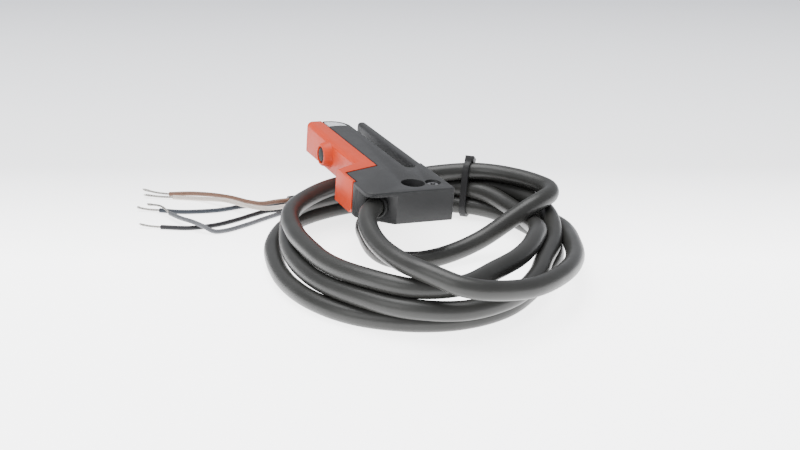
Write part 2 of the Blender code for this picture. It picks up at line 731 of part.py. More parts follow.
def round_cover_edges(shape):
    """Round the cover's outer edges above and below, and cut the leg's lower corner."""
    def outer(edge, low_y):
        middle = (edge.verts[0].co + edge.verts[1].co) / 2
        if abs(edge.verts[0].co.z - edge.verts[1].co.z) > 1e-6 or middle.y < low_y:
            return False
        on_arm = abs(middle.x - COVER_LEFT) < 1e-6
        on_shoulder = middle.x < (COVER_LEFT + LEFT) / 2 + 1e-6 and middle.y > END + COVER_SHOULDER
        return on_arm or on_shoulder

    top = [edge for edge in shape.edges
           if outer(edge, END + COVER_SHOULDER) and edge.verts[0].co.z > MID_HEIGHT]
    bmesh.ops.bevel(shape, geom=top, offset=COVER_ROUND, segments=5, profile=0.5, affect="EDGES",
                    clamp_overlap=True)
    corner = [edge for edge in shape.edges
              if all(abs(vert.co.y - END - COVER_LEG_START) < 1e-6 and abs(vert.co.z) < 1e-6
                     for vert in edge.verts)]
    bmesh.ops.bevel(shape, geom=corner, offset=COVER_LEG_CHAMFER, segments=1, affect="EDGES")


def make_side_cover(finishes, frame):
    """Make the coloured cover: a shell along the wide arm, with shoulder, leg and collar."""
    paint = finishes["cover"]
    shape = prism_shape(rounded_outline(cover_corners()), 0.0, BODY_HEIGHT)
    round_cover_edges(shape)
    cover = mesh_object("side_cover", shape, paint, frame)
    hollow = [
        (COVER_LEFT + COVER_WALL, END + COVER_NOTCH - COVER_WALL / 2, 0.0),
        (LEFT + 3 * COVER_WALL, END + COVER_SHOULDER - COVER_WALL / 2, 0.0),
        (LEFT + 3 * COVER_WALL, END + SHOULDER_FROM_END - SHOULDER_DROP, 0.0),
        (COVER_RIGHT + BEYOND, END + SHOULDER_FROM_END - BEYOND, 0.0),
        (COVER_RIGHT + BEYOND, TIP + COVER_OVERHANG - COVER_WALL, 0.0),
        (COVER_LEFT + COVER_WALL, TIP + COVER_OVERHANG - COVER_WALL, 0.0),
    ]
    inside = prism("cover_hollow_tool", hollow, COVER_WALL, BODY_HEIGHT - COVER_WALL, paint, frame)
    outward = axis_frame((COVER_LEFT, COLLAR_Y, MID_HEIGHT), (-1, 0, 0))
    collar = turned("collar", [(0, -COVER_WALL / 2), (COLLAR_FOOT_RADIUS, -COVER_WALL / 2),
                               (COLLAR_FOOT_RADIUS, 0), (COLLAR_TOP_RADIUS, COLLAR_REACH - COLLAR_LIP),
                               (COLLAR_TOP_RADIUS - COLLAR_LIP, COLLAR_REACH), (0, COLLAR_REACH)],
                    paint, frame, outward)
    bore = BUTTON_RADIUS + FIT_GAP
    step = SEAL_POCKET_DEPTH - COVER_WALL
    guide = turned("button_tool", [(0, -COVER_WALL - BEYOND), (SEAL_POCKET_RADIUS, -COVER_WALL - BEYOND),
                                   (SEAL_POCKET_RADIUS, step), (bore, step),
                                   (bore, COLLAR_REACH + BEYOND), (0, COLLAR_REACH + BEYOND)],
                   paint, frame, outward)
    carve(cover, collar, "UNION")
    carve(cover, inside)
    carve(cover, guide)


def make_button(finishes, frame):
    """Make the teach button with its flange, the seal round it, and the switch behind it."""
    inward = axis_frame((COVER_LEFT - COLLAR_REACH, COLLAR_Y, MID_HEIGHT), (1, 0, 0))
    flange = FLANGE_FACE - (COVER_LEFT - COLLAR_REACH)
    back = flange + BUTTON_FLANGE_THICKNESS
    stem = back + BUTTON_STEM_LENGTH
    turned("teach_button",
           [(0, 0), (BUTTON_RADIUS * 0.55, BUTTON_DOME * 0.2), (BUTTON_RADIUS * 0.88, BUTTON_DOME * 0.6),
            (BUTTON_RADIUS, BUTTON_DOME * 1.6), (BUTTON_RADIUS, flange),
            (BUTTON_FLANGE_RADIUS, flange), (BUTTON_FLANGE_RADIUS, back), (BUTTON_STEM_RADIUS, back),
            (BUTTON_STEM_RADIUS, stem), (0, stem)], finishes["button"], frame, inward)
    seal_back = flange - SMALL_GAP
    seal_front = COLLAR_REACH + COVER_WALL - SEAL_POCKET_DEPTH + SMALL_GAP
    seal_inner = BUTTON_RADIUS + SMALL_GAP
    seal_outer = SEAL_POCKET_RADIUS - SMALL_GAP
    turned("button_seal", [(seal_inner, seal_front), (seal_outer, seal_front),
                           (seal_outer, seal_back), (seal_inner, seal_back)],
           finishes["seal"], frame, inward)
    plunger_start = stem + FIT_GAP
    face = plunger_start + PLUNGER_PROUD
    turned("switch_plunger", disc_profile(PLUNGER_RADIUS, plunger_start, face + PLUNGER_SUNK),
           finishes["button"], frame, inward, 20)
    half = SWITCH_SIZE / 2
    face_x = COVER_LEFT - COLLAR_REACH + face
    switch = prism("tactile_switch", rectangle(face_x, BOARD_LEFT - SMALL_GAP,
                                               COLLAR_Y - half, COLLAR_Y + half),
                   MID_HEIGHT - half, MID_HEIGHT + half, finishes["switch"], frame)
    well = turned("plunger_tool",
                  disc_profile(PLUNGER_RADIUS + SMALL_GAP, face - BEYOND,
                               face + PLUNGER_SUNK + BUTTON_TRAVEL + SMALL_GAP),
                  finishes["switch"], frame, inward, 20)
    carve(switch, well)


def make_window(finishes, frame):
    """Make the signal window with its light guide, and the light below it."""
    low = BODY_HEIGHT - WINDOW_THICKNESS
    window = prism("indicator_window", window_corners(SMALL_GAP, WIDE_LEFT + SMALL_GAP), low,
                   BODY_HEIGHT, finishes["window"], frame)
    foot = BOARD_HIGH + SMALL_GAP
    guide = prism("light_guide", window_leg_corners(0.0), foot, low + WINDOW_THICKNESS / 2,
                  finishes["window"], frame)
    carve(window, guide, "UNION")
    corners = window_leg_corners(0.0)
    middle_y = (corners[0][1] + corners[2][1]) / 2
    half = INDICATOR_SIZE / 2
    lamp = prism("indicator_led",
                 rectangle(BOARD_RIGHT + SMALL_GAP, BOARD_RIGHT + SMALL_GAP + INDICATOR_SIZE,
                           middle_y - half, middle_y + half),
                 foot - FIT_GAP - INDICATOR_SIZE, foot - FIT_GAP, finishes["window"], frame)
    add_edge_round(lamp, INDICATOR_ROUND)


def make_boards(finishes, frame):
    """Make the main board, the emitter strip, the film between them and the chips."""
    board = finishes["board"]
    prism("circuit_board", rectangle(BOARD_LEFT, BOARD_RIGHT, END + BOARD_START, BOARD_END),
          BOARD_LOW, BOARD_HIGH, board, frame)
    strip_right = RIGHT - NARROW_WALL - SMALL_GAP
    prism("emitter_board", rectangle(strip_right - STRIP_THICKNESS, strip_right,
                                     END + LINK_FROM_END + 2 * FIT_GAP, NARROW_TIP - WALL - FIT_GAP),
          REBATE_TOP, BODY_HEIGHT - NARROW_ARM_ROUND - NARROW_WALL, board, frame)
    link_y = END + LINK_FROM_END
    prism("link_film", rectangle(BOARD_RIGHT + SMALL_GAP, strip_right, link_y, link_y + LINK_THICKNESS),
          MID_HEIGHT - LINK_WIDTH / 2, MID_HEIGHT + LINK_WIDTH / 2, finishes["film"], frame)
    chips = (
        ("signal_processor", END + PROCESSOR_FROM_END, PROCESSOR_LENGTH, PROCESSOR_WIDTH, PROCESSOR_HEIGHT),
        ("output_driver", END + DRIVER_FROM_END, DRIVER_LENGTH, DRIVER_WIDTH, DRIVER_HEIGHT),
        ("receiver_photodiode", BEAM_Y, DIODE_SIZE, DIODE_SIZE, DIODE_HEIGHT),
    )
    for name, place, length, width, height in chips:
        left = BOARD_RIGHT + SMALL_GAP
        chip = prism(name, rectangle(left, left + height, place - length / 2, place + length / 2),
                     MID_HEIGHT - width / 2, MID_HEIGHT + width / 2, finishes["chip"], frame)
        add_edge_round(chip, CHIP_ROUND, 1)
    emitter_right = strip_right - STRIP_THICKNESS - SMALL_GAP
    half = EMITTER_SIZE / 2
    prism("emitter_led", rectangle(emitter_right - EMITTER_HEIGHT, emitter_right,
                                   BEAM_Y - half, BEAM_Y + half),
          MID_HEIGHT - half, MID_HEIGHT + half, finishes["window"], frame)


def make_lens(name, place, outward, inside, flange_radius, flange_thickness, finishes, frame):
    """Make one filter lens: a flange behind its wall and a crowned eye in the opening."""
    back = inside - flange_thickness
    turned(name, [(0, back), (flange_radius, back), (flange_radius, inside), (LENS_RADIUS, inside),
                  (LENS_RADIUS, -LENS_SINK - LENS_CROWN), (LENS_RADIUS * 0.6, -LENS_SINK - LENS_CROWN / 4),
                  (0, -LENS_SINK)], finishes["lens"], frame, axis_frame(place, outward), 24)


def make_lenses(finishes, frame):
    """Make the two filter lenses that face each other across the slot."""
    make_lens("receiver_lens", (SLOT_LEFT, BEAM_Y, MID_HEIGHT), (1, 0, 0), -WALL - SMALL_GAP,
              LENS_FLANGE_RADIUS + FIT_GAP, LENS_FLANGE_THICKNESS, finishes, frame)
    make_lens("emitter_lens", (NARROW_INNER, BEAM_Y, MID_HEIGHT), (-1, 0, 0), -NARROW_WALL - SMALL_GAP,
              LENS_FLANGE_RADIUS, SMALL_GAP, finishes, frame)


def make_cover_screw(finishes, frame):
    """Make the sunk screw that holds the bottom cover, with its cross recess."""
    top = BODY_HEIGHT - SCREW_SINK
    under = top - SCREW_HEAD_THICKNESS
    head = SCREW_POCKET_RADIUS - SMALL_GAP
    place = Matrix.Translation(screw_place(0))
    screw = turned("cover_screw",
                   [(0, PLATE_THICKNESS), (SCREW_SHANK_RADIUS, PLATE_THICKNESS),
                    (SCREW_SHANK_RADIUS, under), (head, under), (head, top - SCREW_CROWN),
                    (head * 0.7, top), (0, top)], finishes["screw"], frame, place)
    reach = head * 0.55
    for number, turn in enumerate((0, math.pi / 2)):
        slot = prism(f"cross_tool_{number}",
                     rectangle(-reach, reach, -SCREW_CROSS_WIDTH / 2, SCREW_CROSS_WIDTH / 2),
                     top - SCREW_CROSS_DEPTH, top + BEYOND, finishes["screw"], frame,
                     place @ Matrix.Rotation(turn + math.radians(25), 4, "Z"))
        carve(screw, slot)


def make_gland(finishes, frame):
    """Make the rubber bush that holds the cable in the cut wall."""
    bore = CABLE_DIAMETER / 2 + FIT_GAP
    back = -WALL - SMALL_GAP
    axis = axis_frame(gland_point(0), gland_direction())
    gland = turned("cable_gland",
                   [(bore, back - GLAND_BACK_THICKNESS), (GLAND_BACK_RADIUS, back - GLAND_BACK_THICKNESS),
                    (GLAND_BACK_RADIUS, back), (GLAND_NECK_RADIUS, back), (GLAND_NECK_RADIUS, SMALL_GAP),
                    (GLAND_RADIUS, SMALL_GAP), (GLAND_RADIUS, GLAND_PROUD - GLAND_LIP),
                    (GLAND_RADIUS - GLAND_LIP, GLAND_PROUD), (bore, GLAND_PROUD)],
                   finishes["seal"], frame, axis)
    size = 2 * GLAND_BACK_RADIUS
    way = gland_direction()
    turn = Matrix.Rotation(math.atan2(way.y, way.x), 4, "Z")
    place = Matrix.Translation(gland_point(back - size)) @ turn
    for number, low in enumerate((GLAND_FLAT_HEIGHT, -GLAND_FLAT_HEIGHT - size)):
        flat = prism(f"gland_flat_tool_{number}", rectangle(-size, size, -size, size), low, low + size,
                     finishes["seal"], frame, place)
        carve(gland, flat)


def make_inner_cores(finishes, frame):
    """Run the five wires inside from the end of the jacket to the main board."""
    start = gland_point(-WALL - CABLE_INSIDE - FIT_GAP)
    side = Vector((-gland_direction().y, gland_direction().x, 0)) * -1
    pad = Vector((BOARD_LEFT - SMALL_GAP - WIRE_DIAMETER / 2, END + BOARD_START + SOLDER_PADS_FROM_START,
                  MID_HEIGHT))
    for number, colour in enumerate(WIRE_ROUTES):
        angle = math.radians(90 + 72 * number)
        near = start + (side * math.cos(angle) + Vector((0, 0, math.sin(angle)))) * WIRE_CIRCLE_RADIUS
        far = pad + Vector((0, SOLDER_PADS_ALONG * math.cos(angle), SOLDER_PADS_UP * math.sin(angle)))
        route = [near, near - gland_direction() * MM, near.lerp(far, 0.5), far]
        cord(f"inner_core_{colour}", route, WIRE_DIAMETER, finishes[colour], frame, 1.2, 2)


def make_lead(finishes, tilt):
    """Lay the cable from inside the base, through its bush and over the coil."""
    inner = tilt @ gland_point(-WALL - CABLE_INSIDE)
    outside = tilt @ gland_point(GLAND_PROUD + CABLE_DIAMETER / 4)
    cord("cable_lead", [outside, *in_millimetres(LEAD_ROUTE)], CABLE_DIAMETER, finishes["jacket"],
         straight=[inner])


def make_coil(finishes):
    """Make the coil of cable as a turned ring, grooved below where the tie passes."""
    low, high = FLOOR_HEIGHT, FLOOR_HEIGHT + COIL_HEIGHT
    corners = rectangle(COIL_INNER_RADIUS, COIL_OUTER_RADIUS, low, high, COIL_ROUND)
    profile = [(point.x, point.y) for point in rounded_outline(corners)]
    coil = turned("cable_coil", profile, finishes["jacket"],
                  frame=Matrix.Translation((COIL_CENTRE_X, COIL_CENTRE_Y, 0)), sides=56)
    half = TIE_WIDTH / 2 + FIT_GAP
    groove = prism("tie_groove_tool",
                   rectangle(COIL_INNER_RADIUS - BEYOND, COIL_OUTER_RADIUS + BEYOND, -half, half),
                   FLOOR_HEIGHT - BEYOND, FLOOR_HEIGHT + TIE_THICKNESS + FIT_GAP, finishes["jacket"],
                   frame=tie_frame())
    carve(coil, groove)


def tie_frame():
    """Give the frame of the tie: X out from the coil's centre at the tie, Z up."""
    return (Matrix.Translation((COIL_CENTRE_X, COIL_CENTRE_Y, 0))
            @ Matrix.Rotation(TIE_ANGLE, 4, "Z"))


def make_tie(finishes):
    """Make the tie: a band round the coil's section with its head and cut tail on top."""
    across = tie_frame() @ Matrix.Rotation(math.pi / 2, 4, "X")
    low = FLOOR_HEIGHT + TIE_THICKNESS
    high = FLOOR_HEIGHT + COIL_HEIGHT + FIT_GAP
    left, right = COIL_INNER_RADIUS - FIT_GAP, COIL_OUTER_RADIUS + FIT_GAP
    above = COIL_ROUND + FIT_GAP
    inner = [(left, low, TIE_BEND), (right, low, TIE_BEND), (right, high, above), (left, high, above)]
    outer = [(x, y, radius + TIE_THICKNESS)
             for (x, y, _), (_, _, radius) in zip(offset_corners(inner, -TIE_THICKNESS), inner)]
    half = TIE_WIDTH / 2
    tie = prism("cable_tie", outer, -half, half, finishes["tie"], frame=across)
    hollow = prism("tie_hollow_tool", inner, -half - BEYOND, half + BEYOND, finishes["tie"], frame=across)
    carve(tie, hollow)
    middle = (COIL_INNER_RADIUS + COIL_OUTER_RADIUS) / 2 + COIL_ROUND
    top = high + TIE_THICKNESS / 2
    head = prism("tie_head", rectangle(middle - TIE_HEAD_LENGTH / 2, middle + TIE_HEAD_LENGTH / 2,
                                       -TIE_HEAD_WIDTH / 2, TIE_HEAD_WIDTH / 2),
                 top, top + TIE_HEAD_HEIGHT, finishes["tie"], frame=tie_frame())
    add_edge_round(head, TIE_HEAD_ROUND)
    tail = prism("tie_tail", rectangle(middle + TIE_HEAD_LENGTH / 2 - BEYOND,
                                       middle + TIE_HEAD_LENGTH / 2 + TIE_TAIL_LENGTH, -half, half),
                 top + TIE_THICKNESS, top + 2 * TIE_THICKNESS, finishes["tie"], frame=tie_frame())
    carve(tie, head, "UNION")
    carve(tie, tail, "UNION")


def make_wires(finishes):
    """Lay the jacket's far end, the five wires out of it and their bared conductors."""
    end_route = in_millimetres(END_ROUTE)
    cord("cable_end", end_route, CABLE_DIAMETER, finishes["jacket"])
    last = Vector(end_route[-1])
    along = (last - Vector(end_route[-2])).normalized()
    side = Vector((along.y, -along.x, 0))
    for number, (colour, (route, bared)) in enumerate(WIRE_ROUTES.items()):
        angle = math.radians(90 + 72 * number)
        root = (last + along * FIT_GAP
                - (side * -math.cos(angle) + Vector((0, 0, -math.sin(angle)))) * WIRE_CIRCLE_RADIUS)
        path = [root, *in_millimetres(route)]
        cord(f"wire_{colour}", path, WIRE_DIAMETER, finishes[colour], None, 2.2, 2)
        tip = Vector(path[-1])
        way = (Vector(bared[0]) * MM - tip).normalized()
        cord(f"conductor_{colour}", [tip + way * FIT_GAP, *in_millimetres(bared)], CONDUCTOR_DIAMETER,
             finishes["conductor"], None, 3, 2)


def main():
    """Build the sensor in its tilted frame, then its cable on the floor."""
    clear_scene()
    finishes = make_finishes()
    frame = bpy.data.objects.new("sensor_frame", None)
    bpy.context.scene.collection.objects.link(frame)
    frame.rotation_euler = (0, REST_TILT, 0)
    tilt = Matrix.Rotation(REST_TILT, 4, "Y")
    make_housing(finishes, frame)
    make_bottom_cover(finishes, frame)
    make_side_cover(finishes, frame)
    make_button(finishes, frame)
    make_window(finishes, frame)
    make_boards(finishes, frame)
    make_lenses(finishes, frame)
    make_cover_screw(finishes, frame)
    make_gland(finishes, frame)
    make_inner_cores(finishes, frame)
    make_lead(finishes, tilt)
    make_coil(finishes)
    make_tie(finishes)
    make_wires(finishes)


main()
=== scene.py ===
"""Looks of the fork sensor: the two-armed head on its coiled cable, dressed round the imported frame."""

import logging
import math
from collections.abc import Sequence
from dataclasses import dataclass, field
from enum import Enum

import bmesh
import bpy
import numpy as np
from mathutils import Matrix, Vector


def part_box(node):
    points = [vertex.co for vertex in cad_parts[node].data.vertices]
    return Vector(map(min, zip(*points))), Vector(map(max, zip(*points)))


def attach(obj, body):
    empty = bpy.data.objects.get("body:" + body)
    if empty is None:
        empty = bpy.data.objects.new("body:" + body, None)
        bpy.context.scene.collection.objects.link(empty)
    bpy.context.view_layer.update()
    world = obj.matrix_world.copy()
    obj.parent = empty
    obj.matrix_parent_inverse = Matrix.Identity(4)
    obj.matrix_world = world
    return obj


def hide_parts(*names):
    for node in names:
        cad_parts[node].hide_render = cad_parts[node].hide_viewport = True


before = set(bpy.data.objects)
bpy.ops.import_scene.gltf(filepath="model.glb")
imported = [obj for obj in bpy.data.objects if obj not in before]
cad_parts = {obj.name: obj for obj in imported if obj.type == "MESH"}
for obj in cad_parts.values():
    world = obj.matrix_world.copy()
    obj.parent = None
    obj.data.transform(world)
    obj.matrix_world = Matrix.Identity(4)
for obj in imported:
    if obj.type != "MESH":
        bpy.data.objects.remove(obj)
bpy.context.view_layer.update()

CAD_BODY = "housing"
BUTTON_BODY = "button"
MM = 0.001
REST_TILT = math.radians(4.4)
FLOOR_Z = -14.0 * MM
LOG = logging.getLogger("fork_sensor")

Point = tuple[float, float, float]


# Surface finishes


class Gloss(Enum):
    """How shiny a moulded surface is."""

    MATT = 0.62
    SATIN = 0.45
    SMOOTH = 0.3


class FinishSheet:
    """Node tree of one finish, filled from left to right."""

    def __init__(self, name: str) -> None:
        """Start a material with its shader and its object coordinates.

        Args:
            name: The material's name.
        """
        self.material = bpy.data.materials.new(name)
        self.material.use_nodes = True
        self.nodes = self.material.node_tree.nodes
        self.links = self.material.node_tree.links
        self.shader = self.nodes["Principled BSDF"]
        self.place = self.nodes.new("ShaderNodeTexCoord").outputs["Object"]

    def set(self, **values: float) -> None:
        """Set plain numbers on the shader; underscores in a name stand for spaces."""
        for name, value in values.items():
            self.shader.inputs[name.replace("_", " ")].default_value = value

    def feed(self, socket: str, source: bpy.types.NodeSocket) -> None:
        """Lead a node's output into one of the shader's sockets."""
        self.links.new(source, self.shader.inputs[socket])

    def noise(self, size: float, detail: float = 2.0) -> bpy.types.NodeSocket:
        """Give soft noise whose patches are about a size across.

        Args:
            size: The size of a patch in metres.
            detail: How many finer layers lie in it.

        Returns:
            The noise from 0 to 1.
        """
        node = self.nodes.new("ShaderNodeTexNoise")
        node.inputs["Scale"].default_value = 1.0 / size
        node.inputs["Detail"].default_value = detail
        self.links.new(self.place, node.inputs["Vector"])
        return node.outputs["Fac"]

    def ramp(self, source: bpy.types.NodeSocket, stops: Sequence[tuple[float, tuple[float, ...]]]
             ) -> bpy.types.NodeSocket:
        """Turn a number into a colour by a ramp.

        Args:
            source: The number from 0 to 1.
            stops: Each stop's place and its colour as three numbers.

        Returns:
            The ramp's colour.
        """
        node = self.nodes.new("ShaderNodeValToRGB")
        band = node.color_ramp
        while len(band.elements) < len(stops):
            band.elements.new(0.5)
        for element, (place, colour) in zip(band.elements, stops):
            element.position = place
            element.color = (*colour, 1.0)
        self.links.new(source, node.inputs["Fac"])
        return node.outputs["Color"]

    def between(self, source: bpy.types.NodeSocket, low: float, high: float) -> bpy.types.NodeSocket:
        """Spread a number from 0 to 1 between two values.

        Args:
            source: The number from 0 to 1.
            low: What 0 becomes.
            high: What 1 becomes.

        Returns:
            The spread number.
        """
        node = self.nodes.new("ShaderNodeMapRange")
        node.inputs["To Min"].default_value = low
        node.inputs["To Max"].default_value = high
        self.links.new(source, node.inputs["Value"])
        return node.outputs["Result"]

    def bump(self, height: bpy.types.NodeSocket, depth: float, strength: float = 1.0) -> None:
        """Raise the surface by a height map.

        Args:
            height: The height from 0 to 1.
            depth: How deep the relief is, in metres.
            strength: How strongly it shows.
        """
        node = self.nodes.new("ShaderNodeBump")
        node.inputs["Distance"].default_value = depth
        node.inputs["Strength"].default_value = strength
        self.links.new(height, node.inputs["Height"])
        self.links.new(node.outputs["Normal"], self.shader.inputs["Normal"])


def shade(colour: tuple[float, float, float], factor: float) -> tuple[float, float, float]:
    """Give a colour made lighter or darker by a factor."""
    return tuple(min(1.0, part * factor) for part in colour)


@dataclass(frozen=True)
class MouldedPlastic:
    """Injection-moulded plastic with a fine spark-eroded grain and slight mottling."""

    name: str
    colour: tuple[float, float, float]
    gloss: Gloss = Gloss.SATIN
    grain: float = 0.22 * MM
    grain_depth: float = 0.012 * MM
    mottling: float = 0.08
    specular: float = 0.22

    def make(self) -> bpy.types.Material:
        """Make the material.

        Returns:
            The finished material.
        """
        sheet = FinishSheet(self.name)
        patches = sheet.noise(6.0 * MM, 3.0)
        sheet.feed("Base Color", sheet.ramp(patches, (
            (0.25, shade(self.colour, 1.0 - self.mottling)),
            (0.75, shade(self.colour, 1.0 + self.mottling)))))
        handling = sheet.noise(3.5 * MM, 4.0)
        gloss = self.gloss.value
        sheet.feed("Roughness", sheet.between(handling, gloss - 0.07, gloss + 0.07))
        sheet.bump(sheet.noise(self.grain, 1.0), self.grain_depth)
        sheet.set(IOR=1.5, Specular_IOR_Level=self.specular)
        return sheet.material


@dataclass(frozen=True)
class Sheath:
    """Extruded cable or wire covering: smooth along its length, a little waxy, faintly dusty."""

    name: str
    colour: tuple[float, float, float]
    roughness: float = 0.36
    ripple: float = 1.4 * MM
    ripple_depth: float = 0.01 * MM
    dust: float = 0.12

    def make(self) -> bpy.types.Material:
        """Make the material.

        Returns:
            The finished material.
        """
        sheet = FinishSheet(self.name)
        patches = sheet.noise(9.0 * MM, 4.0)
        sheet.feed("Base Color", sheet.ramp(patches, (
            (0.3, shade(self.colour, 1.0 - self.dust)),
            (0.7, shade(self.colour, 1.0 + self.dust)))))
        rubbed = sheet.noise(4.0 * MM, 3.0)
        sheet.feed("Roughness", sheet.between(rubbed, self.roughness - 0.06, self.roughness + 0.08))
        sheet.bump(sheet.noise(self.ripple, 2.0), self.ripple_depth, 0.6)
        sheet.set(IOR=1.5, Specular_IOR_Level=0.3)
        return sheet.material


@dataclass(frozen=True)
class Metal:
    """Plated or tinned metal with fine drawing marks."""

    name: str
    colour: tuple[float, float, float]
    roughness: float = 0.3

    def make(self) -> bpy.types.Material:
        """Make the material.

        Returns:
            The finished material.
        """
        sheet = FinishSheet(self.name)
        marks = sheet.noise(0.15 * MM, 2.0)
        sheet.feed("Base Color", sheet.ramp(marks, (
            (0.2, shade(self.colour, 0.8)), (0.8, shade(self.colour, 1.1)))))
        sheet.feed("Roughness", sheet.between(marks, self.roughness - 0.08, self.roughness + 0.12))
        sheet.bump(marks, 0.006 * MM)
        sheet.set(Metallic=1.0)
        return sheet.material


@dataclass(frozen=True)
class Diffuser:
    """Milky light-guide plastic with a smooth face and a slight cloudiness."""

    name: str
    colour: tuple[float, float, float]
    transmission: float = 0.15

    def make(self) -> bpy.types.Material:
        """Make the material.

        Returns:
            The finished material.
        """
        sheet = FinishSheet(self.name)
        cloud = sheet.noise(1.6 * MM, 3.0)
        sheet.feed("Base Color", sheet.ramp(cloud, (
            (0.3, shade(self.colour, 0.92)), (0.7, shade(self.colour, 1.05)))))
        sheet.feed("Roughness", sheet.between(cloud, 0.2, 0.32))
        sheet.set(IOR=1.49)
        sheet.shader.inputs["Transmission Weight"].default_value = self.transmission
        return sheet.material


@dataclass(frozen=True)
class Laminate:
    """Circuit board with its faint glass weave under the lacquer."""

    name: str
    colour: tuple[float, float, float]

    def make(self) -> bpy.types.Material:
        """Make the material.

        Returns:
            The finished material.
        """
        sheet = FinishSheet(self.name)
        weave = sheet.nodes.new("ShaderNodeTexWave")
        weave.inputs["Scale"].default_value = 400.0
        weave.inputs["Distortion"].default_value = 0.6
        sheet.links.new(sheet.place, weave.inputs["Vector"])
        sheet.feed("Base Color", sheet.ramp(weave.outputs["Fac"], (
            (0.0, shade(self.colour, 0.8)), (1.0, shade(self.colour, 1.25)))))
        sheet.feed("Roughness", sheet.between(sheet.noise(2.0 * MM), 0.3, 0.45))
        sheet.bump(weave.outputs["Fac"], 0.01 * MM)
        return sheet.material


class Finishes:
    """Every finish of the object, made once and shared."""

    def __init__(self) -> None:
        """Make all materials."""
        self.housing = MouldedPlastic("black_housing", (0.024, 0.0243, 0.0248)).make()
        self.cover = MouldedPlastic("orange_cover", (0.5, 0.04, 0.008), Gloss.SATIN,
                                    mottling=0.05).make()
        self.button = MouldedPlastic("button_grey", (0.008, 0.0115, 0.0115), Gloss.SATIN,
                                     specular=0.08).make()
        self.seal = MouldedPlastic("seal_rubber", (0.009, 0.009, 0.009), Gloss.MATT).make()
        self.window = Diffuser("window_milk", (0.62, 0.65, 0.67)).make()
        self.lamp = Diffuser("lamp_body", (0.8, 0.8, 0.74), 0.4).make()
        self.lens = Diffuser("filter_red", (0.06, 0.008, 0.01), 0.3).make()
        self.chip = MouldedPlastic("chip_epoxy", (0.02, 0.02, 0.022), Gloss.SATIN).make()
        self.film = MouldedPlastic("film_amber", (0.5, 0.22, 0.05), Gloss.SMOOTH).make()
        self.board = Laminate("board_green", (0.03, 0.16, 0.06)).make()
        self.switch = Metal("switch_can", (0.66, 0.66, 0.63)).make()
        self.screw = Metal("screw_steel", (0.3, 0.3, 0.31), 0.38).make()
        self.strand = Metal("tinned_strand", (0.34, 0.33, 0.31), 0.34).make()
        self.jacket = Sheath("cable_jacket", (0.022, 0.022, 0.0205)).make()
        self.tie = MouldedPlastic("tie_nylon", (0.014, 0.014, 0.0145), Gloss.SATIN).make()
        self.wires = {
            "brown": Sheath("insulation_brown", (0.16, 0.088, 0.06), 0.42, 0.8 * MM).make(),
            "white": Sheath("insulation_white", (0.5, 0.45, 0.4), 0.42, 0.8 * MM).make(),
            "grey": Sheath("insulation_grey", (0.09, 0.093, 0.1), 0.42, 0.8 * MM).make(),
            "black": Sheath("insulation_black", (0.012, 0.012, 0.014), 0.42, 0.8 * MM).make(),
            "blue": Sheath("insulation_blue", (0.026, 0.031, 0.04), 0.42, 0.8 * MM).make(),
        }


# Modelling by hand, one step at a time


def deselect_all() -> None:
    """Leave edit mode and let go of every object."""
    if bpy.context.object and bpy.context.object.mode != "OBJECT":
        bpy.ops.object.mode_set(mode="OBJECT")
    bpy.ops.object.select_all(action="DESELECT")


def take(piece: bpy.types.Object) -> bpy.types.Object:
    """Select one object alone and make it active.

    Args:
        piece: The object.

    Returns:
        The same object.
    """
    deselect_all()
    piece.select_set(True)
    bpy.context.view_layer.objects.active = piece
    return piece


def start_edit(piece: bpy.types.Object, mode: str = "FACE") -> None:
    """Open one object in edit mode with everything selected.

    Args:
        piece: The object.
        mode: What is picked: VERT, EDGE or FACE.
    """
    take(piece)
    bpy.ops.object.mode_set(mode="EDIT")
    bpy.ops.mesh.select_mode(type=mode)
    bpy.ops.mesh.select_all(action="SELECT")


def end_edit() -> None:
    """Go back to object mode."""
    bpy.ops.object.mode_set(mode="OBJECT")


def apply_modifier(piece: bpy.types.Object, kind: str, **settings: object) -> None:
    """Add one modifier and apply it at once.

    Args:
        piece: The object.
        kind: The modifier's type.
        settings: Its settings.
    """
    take(piece)
    modifier = piece.modifiers.new(kind.lower(), kind)
    for name, value in settings.items():
        setattr(modifier, name, value)
    bpy.ops.object.modifier_apply(modifier=modifier.name)


def rest_in_place(piece: bpy.types.Object, place: Matrix) -> bpy.types.Object:
    """Move a piece to its place and put that place into its mesh.

    Args:
        piece: The object, modelled about the origin.
        place: Where it belongs.

    Returns:
        The same object.
    """
    take(piece)
    piece.matrix_world = place @ piece.matrix_world
    bpy.ops.object.transform_apply(location=True, rotation=True, scale=True)
    return piece


def dress(piece: bpy.types.Object, material: bpy.types.Material, smooth_angle: float = 35.0) -> None:
    """Give a piece its finish and smooth its round faces.

    Args:
        piece: The object.
        material: Its finish.
        smooth_angle: Edges sharper than this many degrees stay sharp.
    """
    take(piece)
    piece.data.materials.clear()
    piece.data.materials.append(material)
    bpy.ops.object.shade_smooth_by_angle(angle=math.radians(smooth_angle))


def copy_of_node(name: str, node: str) -> bpy.types.Object:
    """Copy a CAD node's mesh into a new piece and clean it for fine edges.

    Args:
        name: The new piece's name.
        node: The CAD node.

    Returns:
        The piece, its loose triangles merged into whole faces.
    """
    deselect_all()
    piece = bpy.data.objects.new(name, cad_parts[node].data.copy())
    bpy.context.scene.collection.objects.link(piece)
    start_edit(piece, "VERT")
    bpy.ops.mesh.remove_doubles(threshold=0.002 * MM)
    bpy.ops.mesh.dissolve_limited(angle_limit=math.radians(0.6))
    end_edit()
    return piece


